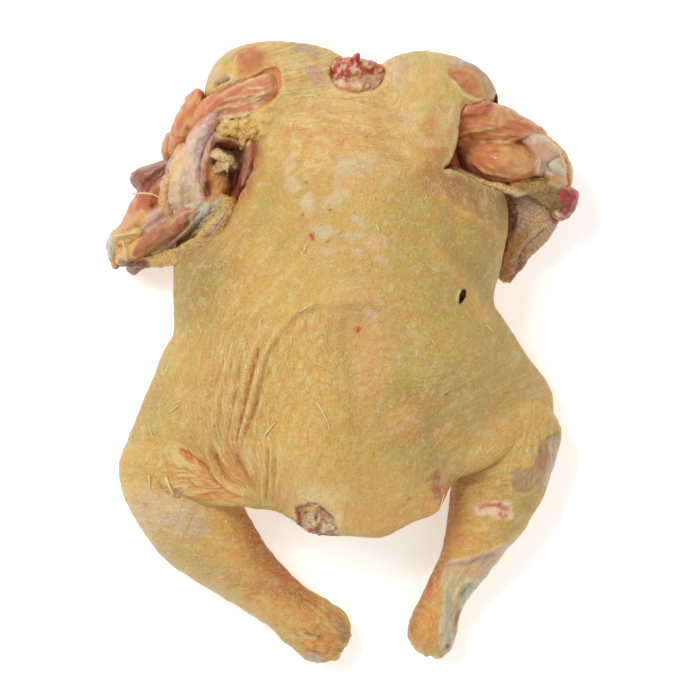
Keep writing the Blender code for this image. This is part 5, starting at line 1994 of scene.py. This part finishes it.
RIGHT_WING_STROKES = rows("""
0.9 cream 0.4: 52.6 112, 59.9 113, 63.5 113.9
1.4 gore 0.5: 63.5 113.9, 66.2 111.2, 63.5 108
1.4 brick 0.8: 59.9 99.5, 72 97.7, 81.5 100.4
0.5 cream 0.8: 49.1 98.1, 56.2 100.8, 62.6 101.7, 71.5 102.6
0.8 cream 0.85: 56.2 99, 62.6 95.9, 70.7 95.4, 78.8 97.7, 84.2 99.9
0.5 fat 0.8: 61.6 97.7, 70.7 96.8, 77 98.5
0.6 cream 0.6: 83.2 94, 87.8 87.8, 86 80.5
0.9 wine 0.6: 54.5 86, 62.6 80.5, 74.2 77.9
0.5 cream 0.5: 56.2 86.9, 64.4 81.9, 75.2 79.7
0.6 gore 0.6: 92.2 81.5, 90.9 86, 93.6 89.1, 97.7 89.5
1.4 gore 0.9: 95 59.9, 99.5 60.8, 103 65.2, 104 69.8
1 gore 0.8: 93.6 66.6, 93.6 62.1, 95.9 59.9
0.7 cream 0.7: 91.4 77.9, 95.9 76, 99.5 74.2
1.4 lilac 0.6: 97.2 59, 88.2 53.6, 79.7 47.2, 74.2 34.6
1.1 apricot 0.45: 92.2 63.5, 83.2 58.1, 77 49.1, 72 37.4
1.1 lilac 0.55: 95 54.5, 86.9 47.2, 79.7 38.2
0.5 gore 0.4: 90.5 56.2, 82.4 50, 77 41.9
0.5 cream 0.5: 94 59.9, 85 55.4, 77.9 48.1
1.2 cream 0.85: 48.1 84.6, 56.2 80.5, 63.5 77, 71.5 75.2, 77.9 72.5, 84.2 73.4
0.6 bark 0.6: 54.5 79.7, 63.5 75.6, 72.5 73.8
""")


# Small spots of tone in the torn wings: outline, colours, size and strength.
LEFT_MOTTLES = rows("""
apricot coral fat 3 0.4: -81 109.4, -70.7 120.2, -61.6 116.5, -63 106.7, -69.8 92.2, -79.7 82.4, -85 87.8
coral salmon brick 2 0.35: -60.8 110.2, -47.2 118.4, -32.9 128.2, -31.9 118.4, -42.8 112, -55.4 107.5
bark rose coral 2.6 0.4: -87.8 54, -81 67.5, -71.5 71.5, -67 63.5, -74.2 53.6, -83.2 47.2
veil bark lilac 2.4 0.35: -70.7 87.8, -65.2 101.2, -59 109.4, -55.4 104.9, -60.8 87.8, -63.5 71.5,
    -68.9 71.5
wine bark liver 2.4 0.5: -97.7 84.2, -87.8 87.8, -79.7 88.7, -79.7 81, -87.8 73.4, -96.8 73.4
""")

RIGHT_MOTTLES = rows("""
apricot coral brick 2.8 0.4: 50.9 111.2, 60.8 115.7, 78.8 110.2, 91.4 99, 78.8 97.7, 60.8 99, 50.9 101.2
apricot orange brick 3.2 0.4: 50.9 96.8, 69.8 99.5, 86 97.7, 85 85.5, 69.8 82.4, 56.2 85.5
coral veil fat 2.2 0.45: 83.2 99, 95 94.5, 101.2 85.5, 99.5 75.2, 87.8 83.2
gore wine scarlet 1.8 0.8: 95 76, 104.9 74.2, 106.7 66.2, 100.4 58.1, 93.2 59.9, 96.8 67
lilac apricot bark 3.4 0.35: 72.5 70.7, 87.8 69.8, 95 58.5, 83.2 43.6, 74.2 36
olive umber tan 2.4 0.45: 81 78.8, 93.2 76.5, 95 67.5, 87.8 67.5
""")


def wing_part(name, muscles, base, voxel=WING_VOXEL, rounds=3):
    """Closed forms that meet in sharp creases, ready to be worked."""
    forms = [limb(f"{name}_{i}", stations, 12, blunt) for i, (stations, blunt) in enumerate(muscles)]
    return Clay(melted(forms, name, voxel, rounds), base)


# Strokes of these tones on torn meat are also pressed in, or raised.
GROOVE_TONES = ("wine", "pit", "gore")
SINEW_TONES = ("cream", "bluish")


def torn(clay, areas, strokes, fibres, height, grain=0.0):
    """Fibres, small lumps and the painted tones of torn meat, fat and sinew."""
    lumps = 0.55 * cloud(clay.points, 4.0, 11) + 0.3 * cloud(clay.points, 1.8, 12)
    clay.swollen(lumps - 0.2)
    clay.wrinkled(fibres, height)
    for outline, colour, strength in areas:
        clay.fill(outline, colour, strength)
    for path, width, colour, strength in strokes:
        clay.paint(path, width, colour, strength, ragged=0.45, taper=0.1)
        if colour in GROOVE_TONES:
            clay.raised(path, width, -0.8, taper=0.1)
        if colour in SINEW_TONES:
            clay.raised(path, width, 0.35, taper=0.1)
    # Gore in the fibres' hollows and pearl on their crests: the tissue's own tones with painted shade and
    # painted highlight.
    clay.streaked("gore", 0.28, "pearl", 0.15)
    grains = cloud(clay.points, 1.5, 13)
    clay.swollen(grain * grains)
    clay.cover(slice(None), 0.8 * grain * np.clip(grains, 0.0, 1.0), "cream")
    clay.laid()
    clay.pimple[:] = 0.0
    clay.wet[:] = 0.9


def wing(side, forms, areas, strokes, mottles, fibres):
    """One torn wing's three pieces with their finishes and slots."""
    meat = wing_part(f"{side}_wing_meat", forms[0], "meat")
    pale = wing_part(f"{side}_wing_sinew", forms[1], "pearl")
    fat = wing_part(f"{side}_wing_fat", forms[2], "fat")
    torn(meat, areas, strokes, fibres, 0.4)
    torn(pale, areas, strokes, fibres, 0.15, 0.1)
    torn(fat, areas, strokes, fibres, 0.15, 0.3)
    for outline, *colours, size, strength in mottles:
        meat.mottled(outline, colours, size, strength)
        pale.mottled(outline, colours, size, 0.5 * strength)
        fat.mottled(outline, colours, size, 0.5 * strength)
    return [(meat, MEAT, "flesh"), (pale, SINEW, "bone"), (fat, FAT, "skin")]


def left_wing():
    forms = (LEFT_WING_MEAT, LEFT_WING_PALE, LEFT_WING_FAT)
    fibres = Grain(LEFT_FIBRES, (-115, 25), (-20, 145), 1.1)
    return wing("left", forms, LEFT_WING_AREAS, LEFT_WING_STROKES, LEFT_MOTTLES, fibres)


def right_wing():
    forms = (RIGHT_WING_MEAT, RIGHT_WING_PALE, RIGHT_WING_FAT)
    fibres = Grain(RIGHT_FIBRES, (35, 25), (110, 145), 1.1, (0.6, -1.0))
    return wing("right", forms, RIGHT_WING_AREAS, RIGHT_WING_STROKES, RIGHT_MOTTLES, fibres)


# ---------------------------------------------------------------- stage


def stage():
    deselect()
    bpy.ops.mesh.primitive_plane_add(size=6.0)
    floor = bpy.context.object
    floor.name = "floor"
    shader = Shader("pale_floor")
    shader.set(Base_Color=(0.9, 0.9, 0.9, 1.0), Roughness=0.9)
    shader.set(Emission_Color=(1.0, 1.0, 1.0, 1.0), Emission_Strength=0.4)
    floor.data.materials.append(shader.material)


# The eye's lens and the plan place it looks down on, and how bright the studio is around it.
LENS = 201.7
VIEW_MIDDLE = (2.25, 2.25)
SKY_STRENGTH = 0.52


def camera():
    deselect()
    bpy.ops.object.camera_add(location=Vector((*VIEW_MIDDLE, EYE_HEIGHT)) * MM, rotation=(0.0, 0.0, 0.0))
    eye = bpy.context.object
    eye.data.lens = LENS
    eye.data.sensor_width = 36.0
    eye.data.clip_start = 0.01
    bpy.context.scene.camera = eye


def soft_light(name, place, size, power):
    """A square lamp at a place in metres that looks at the bird's middle."""
    place = Vector(place)
    bpy.ops.object.light_add(type="AREA", location=place)
    lamp = bpy.context.object
    lamp.name = name
    lamp.rotation_euler = (place - Vector((0.0, 0.0, 0.04))).to_track_quat("Z", "Y").to_euler()
    lamp.data.size = size
    lamp.data.energy = power


def lights():
    deselect()
    soft_light("key", (-0.8, 0.6, 1.4), size=0.8, power=14.2)
    soft_light("fill", (0.9, -0.5, 1.4), size=1.4, power=5.0)
    soft_light("glint", (-0.45, 0.55, 1.6), size=0.12, power=2.6)
    world = bpy.data.worlds.new("studio")
    world.use_nodes = True
    sky = world.node_tree.nodes["Background"]
    sky.inputs["Color"].default_value = (1.0, 1.0, 1.0, 1.0)
    sky.inputs["Strength"].default_value = SKY_STRENGTH
    bpy.context.scene.world = world
    bpy.context.scene.view_settings.view_transform = "Standard"


# ---------------------------------------------------------------- whole


def finished(piece, material, slot):
    """Gives a piece its material and its place in the frame."""
    piece.data.materials.clear()
    piece.data.materials.append(material)
    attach(piece, "root")
    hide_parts("chicken")


SKIN = skin_finish("skin")
FAT = wet_finish("fat", 0.2, (1.0, 0.5, 0.25), 0.2, 0.15, 0.9)
MEAT = wet_finish("meat", 0.12, (1.0, 0.3, 0.15), 0.32, 0.8)
SINEW = wet_finish("sinew", 0.25, (1.0, 0.7, 0.5), 0.4, 0.5)
QUILL = wet_finish("quill", 0.2, (1.0, 0.8, 0.6), 0.2, 0.0)
skins = [body_skin(), left_drumstick(), right_drumstick()]
barbs = quills(skins)
pieces = [(skin, SKIN, "skin") for skin in skins]
pieces += [*left_wing(), *right_wing(), *neck_stump()]
pieces.append((barbs, QUILL, "quill"))
for clay, material, slot in pieces:
    clay.finish()
    finished(clay.piece, material, slot)
stage()
camera()
lights()
